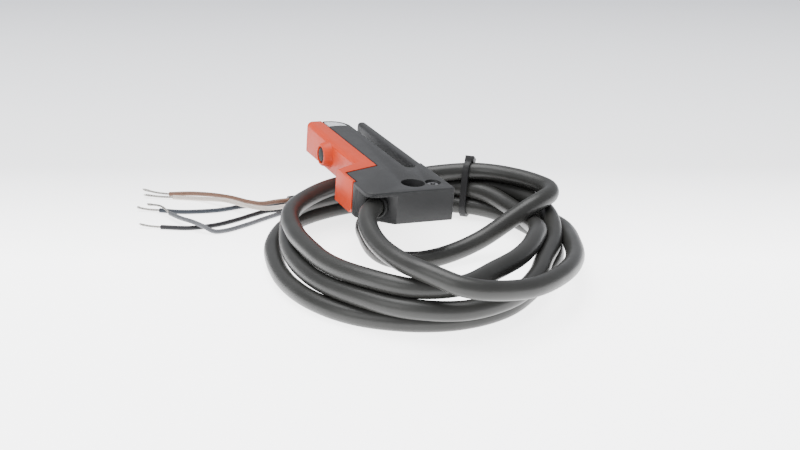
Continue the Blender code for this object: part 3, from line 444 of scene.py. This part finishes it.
def soften_edges(piece: bpy.types.Object, width: float, segments: int = 3, angle: float = 32.0) -> None:
    """Round a piece's sharp outer edges a little; inner corners keep their room.

    Args:
        piece: The object.
        width: The width of the rounding in metres.
        segments: How many steps it has.
        angle: Edges sharper than this many degrees are rounded.
    """
    reading = bmesh.new()
    reading.from_mesh(piece.data)
    weights = [1.0 if edge.is_convex and edge.calc_face_angle(0.0) > math.radians(angle) else 0.0
               for edge in reading.edges]
    reading.free()
    piece.data.attributes.new("bevel_weight_edge", "FLOAT", "EDGE").data.foreach_set("value", weights)
    apply_modifier(piece, "BEVEL", width=width, segments=segments, limit_method="WEIGHT",
                   use_clamp_overlap=True, harden_normals=False, miter_outer="MITER_ARC")


# The cable


def smooth_line(points: Sequence[Sequence[float]], step: float) -> np.ndarray:
    """Read points at even steps from a smooth curve through a route's own points.

    Args:
        points: The route's points in metres.
        step: The distance wanted between points.

    Returns:
        The points of the curve, one row each.
    """
    knots = [np.array(point, float) for point in points]
    ends = [2 * knots[0] - knots[1], *knots, 2 * knots[-1] - knots[-2]]
    dense = []
    for index in range(1, len(ends) - 2):
        a, b, c, d = ends[index - 1:index + 3]
        t1 = np.linalg.norm(b - a) ** 0.5
        t2 = t1 + np.linalg.norm(c - b) ** 0.5
        t3 = t2 + np.linalg.norm(d - c) ** 0.5
        for share in np.linspace(0.0, 1.0, 16, endpoint=False):
            t = t1 + (t2 - t1) * share
            ab = a * (t1 - t) / t1 + b * t / t1
            bc = b * (t2 - t) / (t2 - t1) + c * (t - t1) / (t2 - t1)
            cd = c * (t3 - t) / (t3 - t2) + d * (t - t2) / (t3 - t2)
            first = ab * (t2 - t) / t2 + bc * t / t2
            second = bc * (t3 - t) / (t3 - t1) + cd * (t - t1) / (t3 - t1)
            dense.append(first * (t2 - t) / (t2 - t1) + second * (t - t1) / (t2 - t1))
    dense.append(knots[-1])
    return even_steps(np.array(dense), step)


def even_steps(line: np.ndarray, step: float) -> np.ndarray:
    """Give a line's points again at even distances.

    Args:
        line: The points, one row each.
        step: The distance wanted between points.

    Returns:
        The evenly spaced points.
    """
    walked = np.concatenate([[0.0], np.cumsum(np.linalg.norm(np.diff(line, axis=0), axis=1))])
    count = max(2, round(walked[-1] / step))
    wanted = np.linspace(0.0, walked[-1], count + 1)
    return np.column_stack([np.interp(wanted, walked, line[:, axis]) for axis in range(3)])


def line_length(line: np.ndarray) -> float:
    """Give the length of a line of points."""
    return float(np.linalg.norm(np.diff(line, axis=0), axis=1).sum())


def round_cord(name: str, line: np.ndarray, diameter: float, material: bpy.types.Material,
               resolution: int) -> bpy.types.Object:
    """Make a round cord as a curve of one open spline.

    Args:
        name: The piece's name.
        line: The centreline's points.
        diameter: The cord's diameter in metres.
        material: Its finish.
        resolution: The bevel resolution, which sets the number of sides.

    Returns:
        The cord.
    """
    curve = bpy.data.curves.new(name, "CURVE")
    curve.dimensions = "3D"
    curve.bevel_depth = diameter / 2
    curve.bevel_resolution = resolution
    curve.use_fill_caps = True
    spline = curve.splines.new("POLY")
    spline.points.add(len(line) - 1)
    for point, place in zip(spline.points, line):
        point.co = (*place, 1.0)
    spline.use_smooth = True
    cord = bpy.data.objects.new(name, curve)
    bpy.context.scene.collection.objects.link(cord)
    curve.materials.append(material)
    return cord


# Each row gives a station's distance from the coil's centre and its height over the floor, in
# millimetres, every twenty degrees against the clock.
FIRST_TURNS = (
    (45.1, 14.3), (44.6, 11.2), (42.6, 9.7), (40.8, 8.1), (39.8, 6.7), (41.0, 5.2), (42.6, 3.7),
    (45.0, 2.5), (46.2, 2.5), (45.6, 2.5), (45.8, 2.5), (45.4, 2.5), (42.2, 2.5), (38.9, 2.5),
    (37.7, 2.5), (37.5, 2.5), (37.6, 2.5), (37.6, 2.5), (37.4, 2.5), (36.0, 2.5), (33.6, 2.5),
    (32.9, 2.5), (35.8, 2.5), (39.6, 2.5), (41.2, 2.5), (41.2, 2.5), (40.4, 2.5), (37.6, 2.5),
)
LAST_TURNS = (
    (44.2, 13.3), (41.5, 12.7), (40.8, 12.0), (41.1, 11.7), (39.3, 11.6), (37.1, 11.9), (33.6, 11.5),
    (31.9, 11.4), (32.7, 11.2), (34.8, 11.1), (37.5, 11.2), (36.9, 11.3), (31.4, 11.0), (29.8, 10.8),
    (29.9, 10.6), (31.4, 10.0), (33.2, 7.9), (36.4, 7.2), (40.9, 7.2), (43.2, 6.9), (43.7, 7.0),
    (44.0, 7.1), (44.1, 7.0), (37.9, 7.0), (35.0, 6.6), (34.1, 6.6), (34.6, 6.6), (36.4, 7.0),
    (39.6, 7.1), (40.8, 6.6), (38.8, 6.6), (35.2, 6.7), (32.8, 6.9), (34.9, 7.1), (39.6, 7.6),
    (43.2, 8.6), (45.9, 8.5), (48.0, 8.2), (48.6, 5.0),
)


@dataclass
class CableCoil:
    """The sensor's cable: out of its bush, over the coil, five turns and its cut end."""

    finishes: Finishes
    diameter: float = 5.0 * MM
    centre: tuple[float, float] = (4.06 * MM, -9.03 * MM)
    station_angle: float = 20.0
    first_angle: float = 260.0
    last_angle: float = 1120.0
    step: float = 2.5 * MM
    exit: Point = (-8.65 * MM, -6.88 * MM, 5.08 * MM)
    lead: tuple[Point, ...] = (
        (-5.0, -2.9, 4.8), (-9.5, -7.8, 5.14), (-11.0, -9.4, 5.1), (-13.3, -13.2, 4.7),
        (-15.0, -19.0, 4.0), (-15.7, -26.0, 3.2), (-15.3, -32.5, 2.8), (-13.6, -39.0, 2.3),
        (-10.2, -46.0, 1.8),
    )
    crossing: tuple[Point, ...] = (
        (3.2, 25.6, -11.5), (-1.4, 18.6, -11.5), (-3.2, 12.0, -11.5), (-4.4, 6.0, -11.5),
        (-4.6, 0.0, -11.5), (-2.4, -5.6, -11.5), (3.2, -8.9, -11.5), (11.8, -8.9, -11.1),
        (21.5, -8.3, -9.0), (30.5, -8.5, -4.8),
        (39.7, -8.0, -0.9), (46.9, -1.5, -0.5),
    )
    tie_foot: tuple[float, float] = (33.1 * MM, 22.7 * MM)
    tie_lift: float = 0.9 * MM
    lift_reach: float = 22.0 * MM
    tail: tuple[Point, ...] = ((-0.3, 42.2, -11.2), (-8.5, 43.9, -11.5), (-14.9, 44.3, -11.5))
    drawn_step: float = 1.25 * MM
    free_along: float = 20.0 * MM
    clearance: float = 1.012
    pull: float = 0.04
    smoothing: float = 0.6
    push: float = 0.35
    held_at_start: int = 8
    held_at_end: int = 3
    lead_points: int = 40
    under_base: float = 0.25 * MM
    sides: int = 10
    line: np.ndarray = field(default_factory=lambda: np.zeros((0, 3)))

    def turn_points(self, rows: Sequence[tuple[float, float]], start: float) -> list[Point]:
        """Compute the points of some turns from their stations.

        Args:
            rows: Each station's distance from the centre and height, in millimetres.
            start: The first station's angle in degrees.

        Returns:
            The points in metres.
        """
        points = []
        for number, (reach, height) in enumerate(rows):
            angle = math.radians(start + number * self.station_angle)
            points.append((self.centre[0] + reach * MM * math.cos(angle),
                           self.centre[1] + reach * MM * math.sin(angle), FLOOR_Z + height * MM))
        return points

    def route(self) -> list[Point]:
        """Give the whole route's own points, from inside the base to the jacket's cut end."""
        metres = [[tuple(value * MM for value in point) for point in part]
                  for part in (self.lead, self.crossing, self.tail)]
        return [*metres[0], *self.turn_points(FIRST_TURNS, self.first_angle), *metres[1],
                *self.turn_points(LAST_TURNS, self.last_angle), *metres[2]]

    def settle(self, wanted: np.ndarray, rounds: int = 260) -> np.ndarray:
        """Let the turns find room: no strand lies in another, in the floor or in the sensor.

        Args:
            wanted: The route's points.
            rounds: How often the strands push each other.

        Returns:
            The settled points.
        """
        line = wanted.copy()
        count = len(line)
        order = np.arange(count)
        apart = np.triu(np.abs(order[:, None] - order[None, :]) * self.step > self.free_along, 1)
        clear = self.diameter * self.clearance
        fixed = (order < self.held_at_start) | (order >= count - self.held_at_end)
        for _ in range(rounds):
            line += self.pull * (wanted - line)
            moved = line - wanted
            line[1:-1] += self.smoothing * ((moved[:-2] + moved[2:]) / 2 - moved[1:-1])
            gap = line[:, None, :] - line[None, :, :]
            distance = np.sqrt((gap ** 2).sum(2)) + 1e-9
            first, second = np.nonzero(apart & (distance < clear))
            if len(first):
                near = distance[first, second][:, None]
                push = self.push * (clear - near) * gap[first, second] / near
                total = np.zeros_like(line)
                hits = np.zeros(count)
                np.add.at(total, first, push)
                np.add.at(total, second, -push)
                np.add.at(hits, first, 1)
                np.add.at(hits, second, 1)
                line += total / np.sqrt(np.maximum(hits, 1))[:, None]
            self.keep_clear(line)
            line[fixed] = wanted[fixed]
        return line

    def keep_clear(self, line: np.ndarray) -> None:
        """Lift points off the floor and press those below the sensor under its base.

        Args:
            line: The points, changed in place.
        """
        radius = self.diameter / 2
        from_tie = np.hypot(line[:, 0] - self.tie_foot[0], line[:, 1] - self.tie_foot[1])
        lift = self.tie_lift * np.clip(1.0 - (from_tie / self.lift_reach) ** 2, 0.0, 1.0)
        line[:, 2] = np.maximum(line[:, 2], FLOOR_Z + radius + lift)
        low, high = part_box("fork_housing")
        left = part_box("side_cover")[0][0]
        below = ((line[:, 0] > left - radius) & (line[:, 0] < high[0] + radius)
                 & (line[:, 1] > low[1] + radius) & (line[:, 1] < high[1] + radius))
        ceiling = -np.tan(REST_TILT) * line[:, 0] - radius - self.under_base
        below &= np.arange(len(line)) > self.lead_points
        line[:, 2] = np.where(below, np.minimum(line[:, 2], ceiling), line[:, 2])

    def build(self) -> bpy.types.Object:
        """Returns:
            The cable.
        """
        settled = self.settle(smooth_line(self.route(), self.step))
        self.line = smooth_line([*settled[:-1:2], settled[-1]], self.drawn_step)
        cable = round_cord("sensor_cable", self.line, self.diameter, self.finishes.jacket, self.sides)
        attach(cable, CAD_BODY)
        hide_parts("cable_lead", "cable_coil", "cable_end")
        LOG.info("sensor_cable: %.0f mm long", line_length(self.line) / MM)
        return cable


@dataclass
class BundleTie:
    """The nylon tie round the five strands at the back of the coil."""

    finishes: Finishes
    coil: CableCoil
    angle: float = math.radians(47.5)
    width: float = 1.8 * MM
    thickness: float = 0.8 * MM
    head: Point = (3.0 * MM, 1.8 * MM, 2.6 * MM)
    head_out: float = 2.0 * MM
    head_down: float = 0.6 * MM
    head_turn: float = math.radians(36)
    slack: float = 0.05 * MM
    edge: float = 0.18 * MM
    strand_sides: int = 48
    inside_reach: float = 20 * MM

    def strand_places(self) -> list[tuple[float, float]]:
        """Find where each strand passes the tie.

        Returns:
            Each strand's distance from the coil's centre and its height.
        """
        line = self.coil.line - np.array([*self.coil.centre, 0.0])
        out = np.array([math.cos(self.angle), math.sin(self.angle)])
        side = line[:, 0] * -out[1] + line[:, 1] * out[0]
        reach = line[:, 0] * out[0] + line[:, 1] * out[1]
        places = []
        for index in range(len(line) - 1):
            if side[index] * side[index + 1] <= 0 and reach[index] > self.inside_reach:
                places.append((float(reach[index]), float(line[index, 2])))
        return places

    def outline(self, gap: float) -> list[tuple[float, float]]:
        """Give the taut outline round the strands, a distance outside them.

        Args:
            gap: The distance from the strands.

        Returns:
            The outline's points as distance from the centre and height.
        """
        radius = self.coil.diameter / 2 + gap
        cloud = [(reach + radius * math.cos(turn), height + radius * math.sin(turn))
                 for reach, height in self.strand_places()
                 for turn in (math.tau * number / self.strand_sides
                              for number in range(self.strand_sides))]
        return convex_outline(cloud)

    def build(self) -> bpy.types.Object:
        """Model the band and its head.

        Returns:
            The tie.
        """
        inner = self.outline(self.slack)
        outer = self.outline(self.slack + self.thickness)
        band = flat_ring("bundle_tie", inner, outer, self.width)
        top = max(point[1] for point in outer)
        middle = max(outer, key=lambda point: point[1])[0]
        deselect_all()
        bpy.ops.mesh.primitive_cube_add(size=1, scale=self.head,
                                        location=(middle + self.head_out, top - self.head_down, 0),
                                        rotation=(0, 0, -self.head_turn))
        head = bpy.context.object
        bpy.ops.object.transform_apply(location=True, rotation=True, scale=True)
        LOG.info("bundle_tie: %d strands", len(self.strand_places()))
        place = (Matrix.Translation((*self.coil.centre, 0.0)) @ Matrix.Rotation(self.angle, 4, "Z")
                 @ Matrix.Rotation(math.pi / 2, 4, "X"))
        take(band)
        head.select_set(True)
        bpy.ops.object.join()
        rest_in_place(band, place)
        soften_edges(band, self.edge, 2)
        dress(band, self.finishes.tie)
        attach(band, CAD_BODY)
        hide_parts("cable_tie")
        return band


def convex_outline(points: Sequence[tuple[float, float]]) -> list[tuple[float, float]]:
    """Give the taut outline round a cloud of flat points, against the clock.

    Args:
        points: The cloud.

    Returns:
        The outline's points.
    """
    ordered = sorted(set(points))
    outline: list[tuple[float, float]] = []
    for run in (ordered, ordered[::-1]):
        part: list[tuple[float, float]] = []
        for point in run:
            while len(part) > 1 and ((part[-1][0] - part[-2][0]) * (point[1] - part[-2][1])
                                     <= (part[-1][1] - part[-2][1]) * (point[0] - part[-2][0])):
                part.pop()
            part.append(point)
        outline.extend(part[:-1])
    return outline


def even_ring(outline: Sequence[tuple[float, float]], sides: int = 96) -> np.ndarray:
    """Give an outline's points again at even angles about its middle.

    Args:
        outline: The outline's points.
        sides: How many points are wanted.

    Returns:
        The points, one row each.
    """
    ring = np.array([*outline, outline[0]])
    middle = np.array(outline).mean(axis=0)
    walked = np.concatenate([[0.0], np.cumsum(np.linalg.norm(np.diff(ring, axis=0), axis=1))])
    wanted = np.linspace(0.0, walked[-1], sides * 8, endpoint=False)
    dense = np.column_stack([np.interp(wanted, walked, ring[:, axis]) for axis in range(2)])
    angles = np.arctan2(dense[:, 1] - middle[1], dense[:, 0] - middle[0])
    picked = [int(np.argmin(np.abs(np.angle(np.exp(1j * (angles - turn))))))
              for turn in np.linspace(-math.pi, math.pi, sides, endpoint=False)]
    return dense[picked]


def flat_ring(name: str, inner: list[tuple[float, float]], outer: list[tuple[float, float]],
              width: float) -> bpy.types.Object:
    """Model a band between two outlines drawn in X and Y.

    Args:
        name: The piece's name.
        inner: The inner outline.
        outer: The outer outline.
        width: The band's width along Z.

    Returns:
        The closed band.
    """
    near, far = even_ring(inner), even_ring(outer)
    sides = len(far)
    deselect_all()
    bpy.ops.mesh.primitive_circle_add(vertices=sides, radius=1.0, fill_type="NOTHING")
    band = bpy.context.object
    band.name = name
    for vertex, place in zip(band.data.vertices, far):
        vertex.co = (place[0], place[1], -width / 2)
    start_edit(band, "EDGE")
    bpy.ops.mesh.extrude_region_move(TRANSFORM_OT_translate={"value": (0, 0, width)})
    end_edit()
    inner_wall = band.copy()
    inner_wall.data = band.data.copy()
    bpy.context.scene.collection.objects.link(inner_wall)
    for index, vertex in enumerate(inner_wall.data.vertices):
        place = near[index % sides]
        vertex.co = (place[0], place[1], vertex.co.z)
    take(band)
    inner_wall.select_set(True)
    bpy.ops.object.join()
    for level in (-width / 2, width / 2):
        start_edit(band, "EDGE")
        bpy.ops.mesh.select_all(action="DESELECT")
        end_edit()
        for edge in band.data.edges:
            edge.select = all(abs(band.data.vertices[index].co.z - level) < 1e-7
                              for index in edge.vertices)
        bpy.ops.object.mode_set(mode="EDIT")
        bpy.ops.mesh.bridge_edge_loops()
        end_edit()
    start_edit(band)
    bpy.ops.mesh.normals_make_consistent(inside=False)
    end_edit()
    return band


@dataclass(frozen=True)
class WireLay:
    """One wire's way from the jacket's end, and the way of its bared strands, in millimetres."""

    colour: str
    covered: tuple[Point, ...]
    bared: tuple[Point, ...]


WIRES = (
    WireLay("brown", ((-18.5, 45.4, -10.4), (-22.1, 47.7, -11.3), (-24.8, 50.9, -11.55),
                      (-28.4, 58.9, -12.3), (-32.7, 66.0, -13.2), (-37.9, 69.7, -13.35),
                      (-43.9, 71.8, -13.35)),
            ((-47.2, 74.2, -13.2), (-50.7, 77.1, -12.6))),
    WireLay("white", ((-18.6, 42.6, -11.2), (-23.0, 44.2, -11.4), (-27.0, 48.9, -11.5),
                      (-30.6, 55.6, -11.8), (-36.4, 63.7, -13.2), (-43.5, 68.6, -13.35)),
            ((-47.4, 70.8, -13.3), (-51.2, 73.6, -13.1))),
    WireLay("grey", ((-18.2, 42.6, -13.2), (-23.3, 41.0, -13.35), (-30.3, 38.2, -13.35),
                     (-36.7, 36.5, -13.35), (-40.0, 36.9, -13.2), (-42.3, 39.0, -12.1),
                     (-44.5, 42.4, -11.6), (-46.6, 48.2, -12.2), (-48.2, 54.0, -12.6)),
            ((-49.6, 58.2, -11.7), (-52.6, 64.0, -12.6))),
    WireLay("black", ((-17.8, 45.6, -13.2), (-21.0, 46.4, -13.35), (-25.4, 45.2, -13.35),
                      (-31.8, 43.0, -13.35), (-38.3, 41.7, -13.35), (-45.5, 42.5, -13.35),
                      (-52.9, 46.5, -13.35)),
            ((-55.7, 48.4, -13.3), (-58.4, 50.2, -12.9))),
    WireLay("blue", ((-16.9, 47.3, -12.2), (-18.4, 50.2, -13.1), (-21.4, 52.6, -13.35),
                     (-27.4, 52.9, -13.35), (-33.5, 52.7, -13.35), (-39.3, 53.9, -13.35),
                     (-44.8, 56.0, -13.35), (-49.9, 59.6, -13.35)),
            ((-53.0, 61.6, -13.3), (-55.8, 63.5, -12.9))),
)


@dataclass
class WireFan:
    """The five wires that fan out of the jacket, each with its bared strands."""

    finishes: Finishes
    coil: CableCoil
    diameter: float = 1.3 * MM
    circle: float = 1.42 * MM
    strand_diameter: float = 0.2 * MM
    strands: int = 7
    lay_radius: float = 0.23 * MM
    lay_length: float = 5.0 * MM
    strand_step: float = 0.3 * MM
    hidden_start: float = 0.6 * MM
    fray_from: float = 0.7
    fray: float = 1.6
    wire_step: float = 1.0 * MM
    wire_sides: int = 6

    def root(self, number: int) -> Vector:
        """Give the point where one wire leaves the jacket's cut end.

        Args:
            number: The wire's place in the list.

        Returns:
            The point.
        """
        last, before = (Vector(self.coil.tail[index]) * MM for index in (-1, -2))
        along = (last - before).normalized()
        side = Vector((along.y, -along.x, 0)).normalized()
        angle = math.radians(90 + 72 * number)
        return (last - along * self.diameter
                + (side * math.cos(angle) + Vector((0, 0, math.sin(angle)))) * self.circle)

    def build_strands(self, lay: WireLay, tip: Vector) -> bpy.types.Object:
        """Twist the bared strands of one wire, their ends a little frayed.

        Args:
            lay: The wire's way.
            tip: The end of its insulation.

        Returns:
            The strands as one piece.
        """
        way_points = [tuple(tip), *(tuple(value * MM for value in point) for point in lay.bared)]
        centre = smooth_line(way_points, self.strand_step)
        walked = np.concatenate([[0.0], np.cumsum(np.linalg.norm(np.diff(centre, axis=0), axis=1))])
        centre = np.array([*(centre[:1] - (centre[1:2] - centre[:1]) * 2), *centre])
        walked = np.array([-self.hidden_start, *walked])
        way = centre[-1] - centre[0]
        side = np.cross(way, (0, 0, 1.0))
        side /= np.linalg.norm(side)
        up = np.cross(side, way)
        up /= np.linalg.norm(up)
        parts = []
        for number in range(self.strands):
            reach = 0.0 if number == 0 else self.lay_radius
            phase = math.tau * number / (self.strands - 1)
            turn = phase + math.tau * walked / self.lay_length
            fray = 1.0 + self.fray * np.clip(walked / walked[-1] - self.fray_from, 0, 1) * (number % 3)
            lift = reach * fray
            line = (centre + side * (lift * np.cos(turn))[:, None]
                    + up * (lift * np.sin(turn))[:, None])
            line = line[:len(line) - (number * 5) % 4]
            line[:, 2] = np.maximum(line[:, 2], FLOOR_Z + self.strand_diameter / 2)
            parts.append(round_cord(f"strand_{number}", line, self.strand_diameter,
                                    self.finishes.strand, 1))
        deselect_all()
        for part in parts:
            part.select_set(True)
        bpy.context.view_layer.objects.active = parts[0]
        bpy.ops.object.convert(target="MESH")
        bpy.ops.object.join()
        piece = bpy.context.object
        piece.name = f"strands_{lay.colour}"
        dress(piece, self.finishes.strand, 60)
        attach(piece, CAD_BODY)
        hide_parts(f"conductor_{lay.colour}")
        return piece

    def build(self) -> None:
        for number, lay in enumerate(WIRES):
            root = self.root(number)
            route = [tuple(root), *(tuple(value * MM for value in point) for point in lay.covered)]
            line = smooth_line(route, self.wire_step)
            wire = round_cord(f"insulated_wire_{lay.colour}", line, self.diameter,
                              self.finishes.wires[lay.colour], self.wire_sides)
            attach(wire, CAD_BODY)
            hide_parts(f"wire_{lay.colour}")
            strands = self.build_strands(lay, Vector(line[-1]))
            LOG.info("insulated_wire_%s: %.0f mm long", lay.colour, line_length(line) / MM)


# The sensor head


@dataclass
class SensorHead:
    """The two-armed housing with its cover, button, window, screw and bush."""

    finishes: Finishes
    edge: float = 0.22 * MM
    bottom_edge: float = 0.12 * MM
    cover_edge: float = 0.3 * MM

    def build_housing(self) -> None:
        """Dress the black housing and its bottom cover."""
        for name, node, width in (("head_shell", "fork_housing", self.edge),
                                  ("head_bottom", "bottom_cover", self.bottom_edge)):
            shell = copy_of_node(name, node)
            soften_edges(shell, width, 2)
            dress(shell, self.finishes.housing)
            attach(shell, CAD_BODY)
            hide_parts(node)
            LOG.info("%s: %d faces", name, len(shell.data.polygons))

    def build_cover(self) -> None:
        """Dress the orange side cover."""
        cover = copy_of_node("head_side_cover", "side_cover")
        soften_edges(cover, self.cover_edge, 3)
        dress(cover, self.finishes.cover)
        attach(cover, CAD_BODY)
        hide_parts("side_cover")
        LOG.info("head_side_cover: %d faces", len(cover.data.polygons))

    def dress_nodes(self) -> None:
        """Give the pieces that keep their CAD shape their finishes."""
        table = {
            "teach_button": self.finishes.button, "button_seal": self.finishes.seal,
            "switch_plunger": self.finishes.button, "tactile_switch": self.finishes.switch,
            "indicator_window": self.finishes.window, "indicator_led": self.finishes.lamp,
            "circuit_board": self.finishes.board, "emitter_board": self.finishes.board,
            "link_film": self.finishes.film, "signal_processor": self.finishes.chip,
            "output_driver": self.finishes.chip, "receiver_photodiode": self.finishes.chip,
            "emitter_led": self.finishes.lamp, "emitter_lens": self.finishes.lens,
            "receiver_lens": self.finishes.lens, "cover_screw": self.finishes.screw,
            "cable_gland": self.finishes.seal,
            **{f"inner_core_{colour}": finish for colour, finish in self.finishes.wires.items()},
        }
        for name, finish in table.items():
            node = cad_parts[name]
            node.data.materials.clear()
            node.data.materials.append(finish)
            LOG.info("%s: dressed", name)

    def build(self) -> None:
        """Build and dress the whole head."""
        self.build_housing()
        self.build_cover()
        self.dress_nodes()


# Studio


@dataclass
class Studio:
    """Pale floor with painted shade towards the back and a painted glow at the front, soft lights and
    the camera of the photograph.
    """

    camera_place: Point = (-134.56 * MM, -311.8 * MM, 133.13 * MM)
    view_way: Point = (0.3711, 0.8498, -0.3746)
    focal_px: float = 1359.0
    image_width: float = 800.0

    def build_floor(self) -> None:
        """Lay the pale floor with painted shade, darker and cooler towards the back, and a painted glow
        that brightens its front.
        """
        deselect_all()
        bpy.ops.mesh.primitive_plane_add(size=6.0, location=(0, 0, FLOOR_Z))
        floor = bpy.context.object
        floor.name = "studio_floor"
        bpy.ops.object.transform_apply(location=True, rotation=True, scale=True)
        sheet = FinishSheet("floor_painted_shade_and_glow")
        mapping = sheet.nodes.new("ShaderNodeMapping")
        mapping.inputs["Rotation"].default_value = (0, 0, math.radians(-66.4))
        mapping.inputs["Scale"].default_value = (1.6, 1.6, 1.6)
        sheet.links.new(sheet.place, mapping.inputs["Vector"])
        parts = sheet.nodes.new("ShaderNodeSeparateXYZ")
        sheet.links.new(mapping.outputs["Vector"], parts.inputs["Vector"])
        # Painted shade: the floor's colour grows darker and cooler towards the back.
        sheet.feed("Base Color", sheet.ramp(parts.outputs["X"], (
            (0.0, (0.93, 0.93, 0.94)), (0.25, (0.74, 0.75, 0.78)),
            (1.0, (0.4, 0.41, 0.43)))))
        # Painted glow: the floor's front emits white light that fades towards the back; the floor is no
        # lamp.
        sheet.feed("Emission Color", sheet.ramp(parts.outputs["X"], (
            (0.0, (1.0, 1.0, 1.0)), (0.12, (0.3, 0.3, 0.3)), (0.5, (0.03, 0.03, 0.035)))))
        sheet.set(Roughness=0.3, Emission_Strength=3.8)
        sheet.shader.inputs["Specular IOR Level"].default_value = 0.35
        floor.data.materials.append(sheet.material)

    def add_light(self, name: str, place: Point, target: Point, size: float, power: float,
                  colour: tuple[float, float, float] = (1.0, 1.0, 1.0)) -> None:
        """Hang one square soft light.

        Args:
            name: The light's name.
            place: Where it hangs.
            target: What it points at.
            size: The length of its side.
            power: Its power in watts.
            colour: Its colour.
        """
        data = bpy.data.lights.new(name, "AREA")
        data.shape = "SQUARE"
        data.size = size
        data.energy = power
        data.color = colour
        lamp = bpy.data.objects.new(name, data)
        lamp.location = place
        lamp.rotation_euler = (Vector(target) - Vector(place)).to_track_quat("-Z", "Y").to_euler()
        bpy.context.scene.collection.objects.link(lamp)

    def build_lights(self) -> None:
        """Hang the soft lights and set the pale surroundings."""
        self.add_light("overhead", (-0.05, 0.18, 0.75), (0, 0, 0), 0.6, 10.0)
        self.add_light("left_fill", (-0.7, -0.25, 0.5), (0, 0, 0), 0.5, 3.5)
        world = bpy.data.worlds.new("studio_air")
        bpy.context.scene.world = world
        world.use_nodes = True
        air = world.node_tree.nodes["Background"]
        air.inputs["Color"].default_value = (0.93, 0.95, 1.0, 1.0)
        air.inputs["Strength"].default_value = 0.8

    def build_camera(self) -> None:
        """Set up the camera of the photograph."""
        data = bpy.data.cameras.new("photo_camera")
        data.sensor_width = 36.0
        data.lens = self.focal_px / self.image_width * data.sensor_width
        data.clip_start = 0.01
        data.clip_end = 20.0
        camera = bpy.data.objects.new("photo_camera", data)
        camera.location = self.camera_place
        camera.rotation_euler = Vector(self.view_way).to_track_quat("-Z", "Y").to_euler()
        bpy.context.scene.collection.objects.link(camera)
        bpy.context.scene.camera = camera

    def build(self) -> None:
        """Build floor, lights and camera."""
        self.build_camera()
        self.build_floor()
        self.build_lights()


def main() -> None:
    """Build every sub-assembly in order."""
    logging.basicConfig(level=logging.INFO, format="%(name)s %(message)s")
    Studio().build()
    finishes = Finishes()
    coil = CableCoil(finishes)
    cable = coil.build()
    tie = BundleTie(finishes, coil).build()
    WireFan(finishes, coil).build()
    SensorHead(finishes).build()


if __name__ == "__main__":
    main()
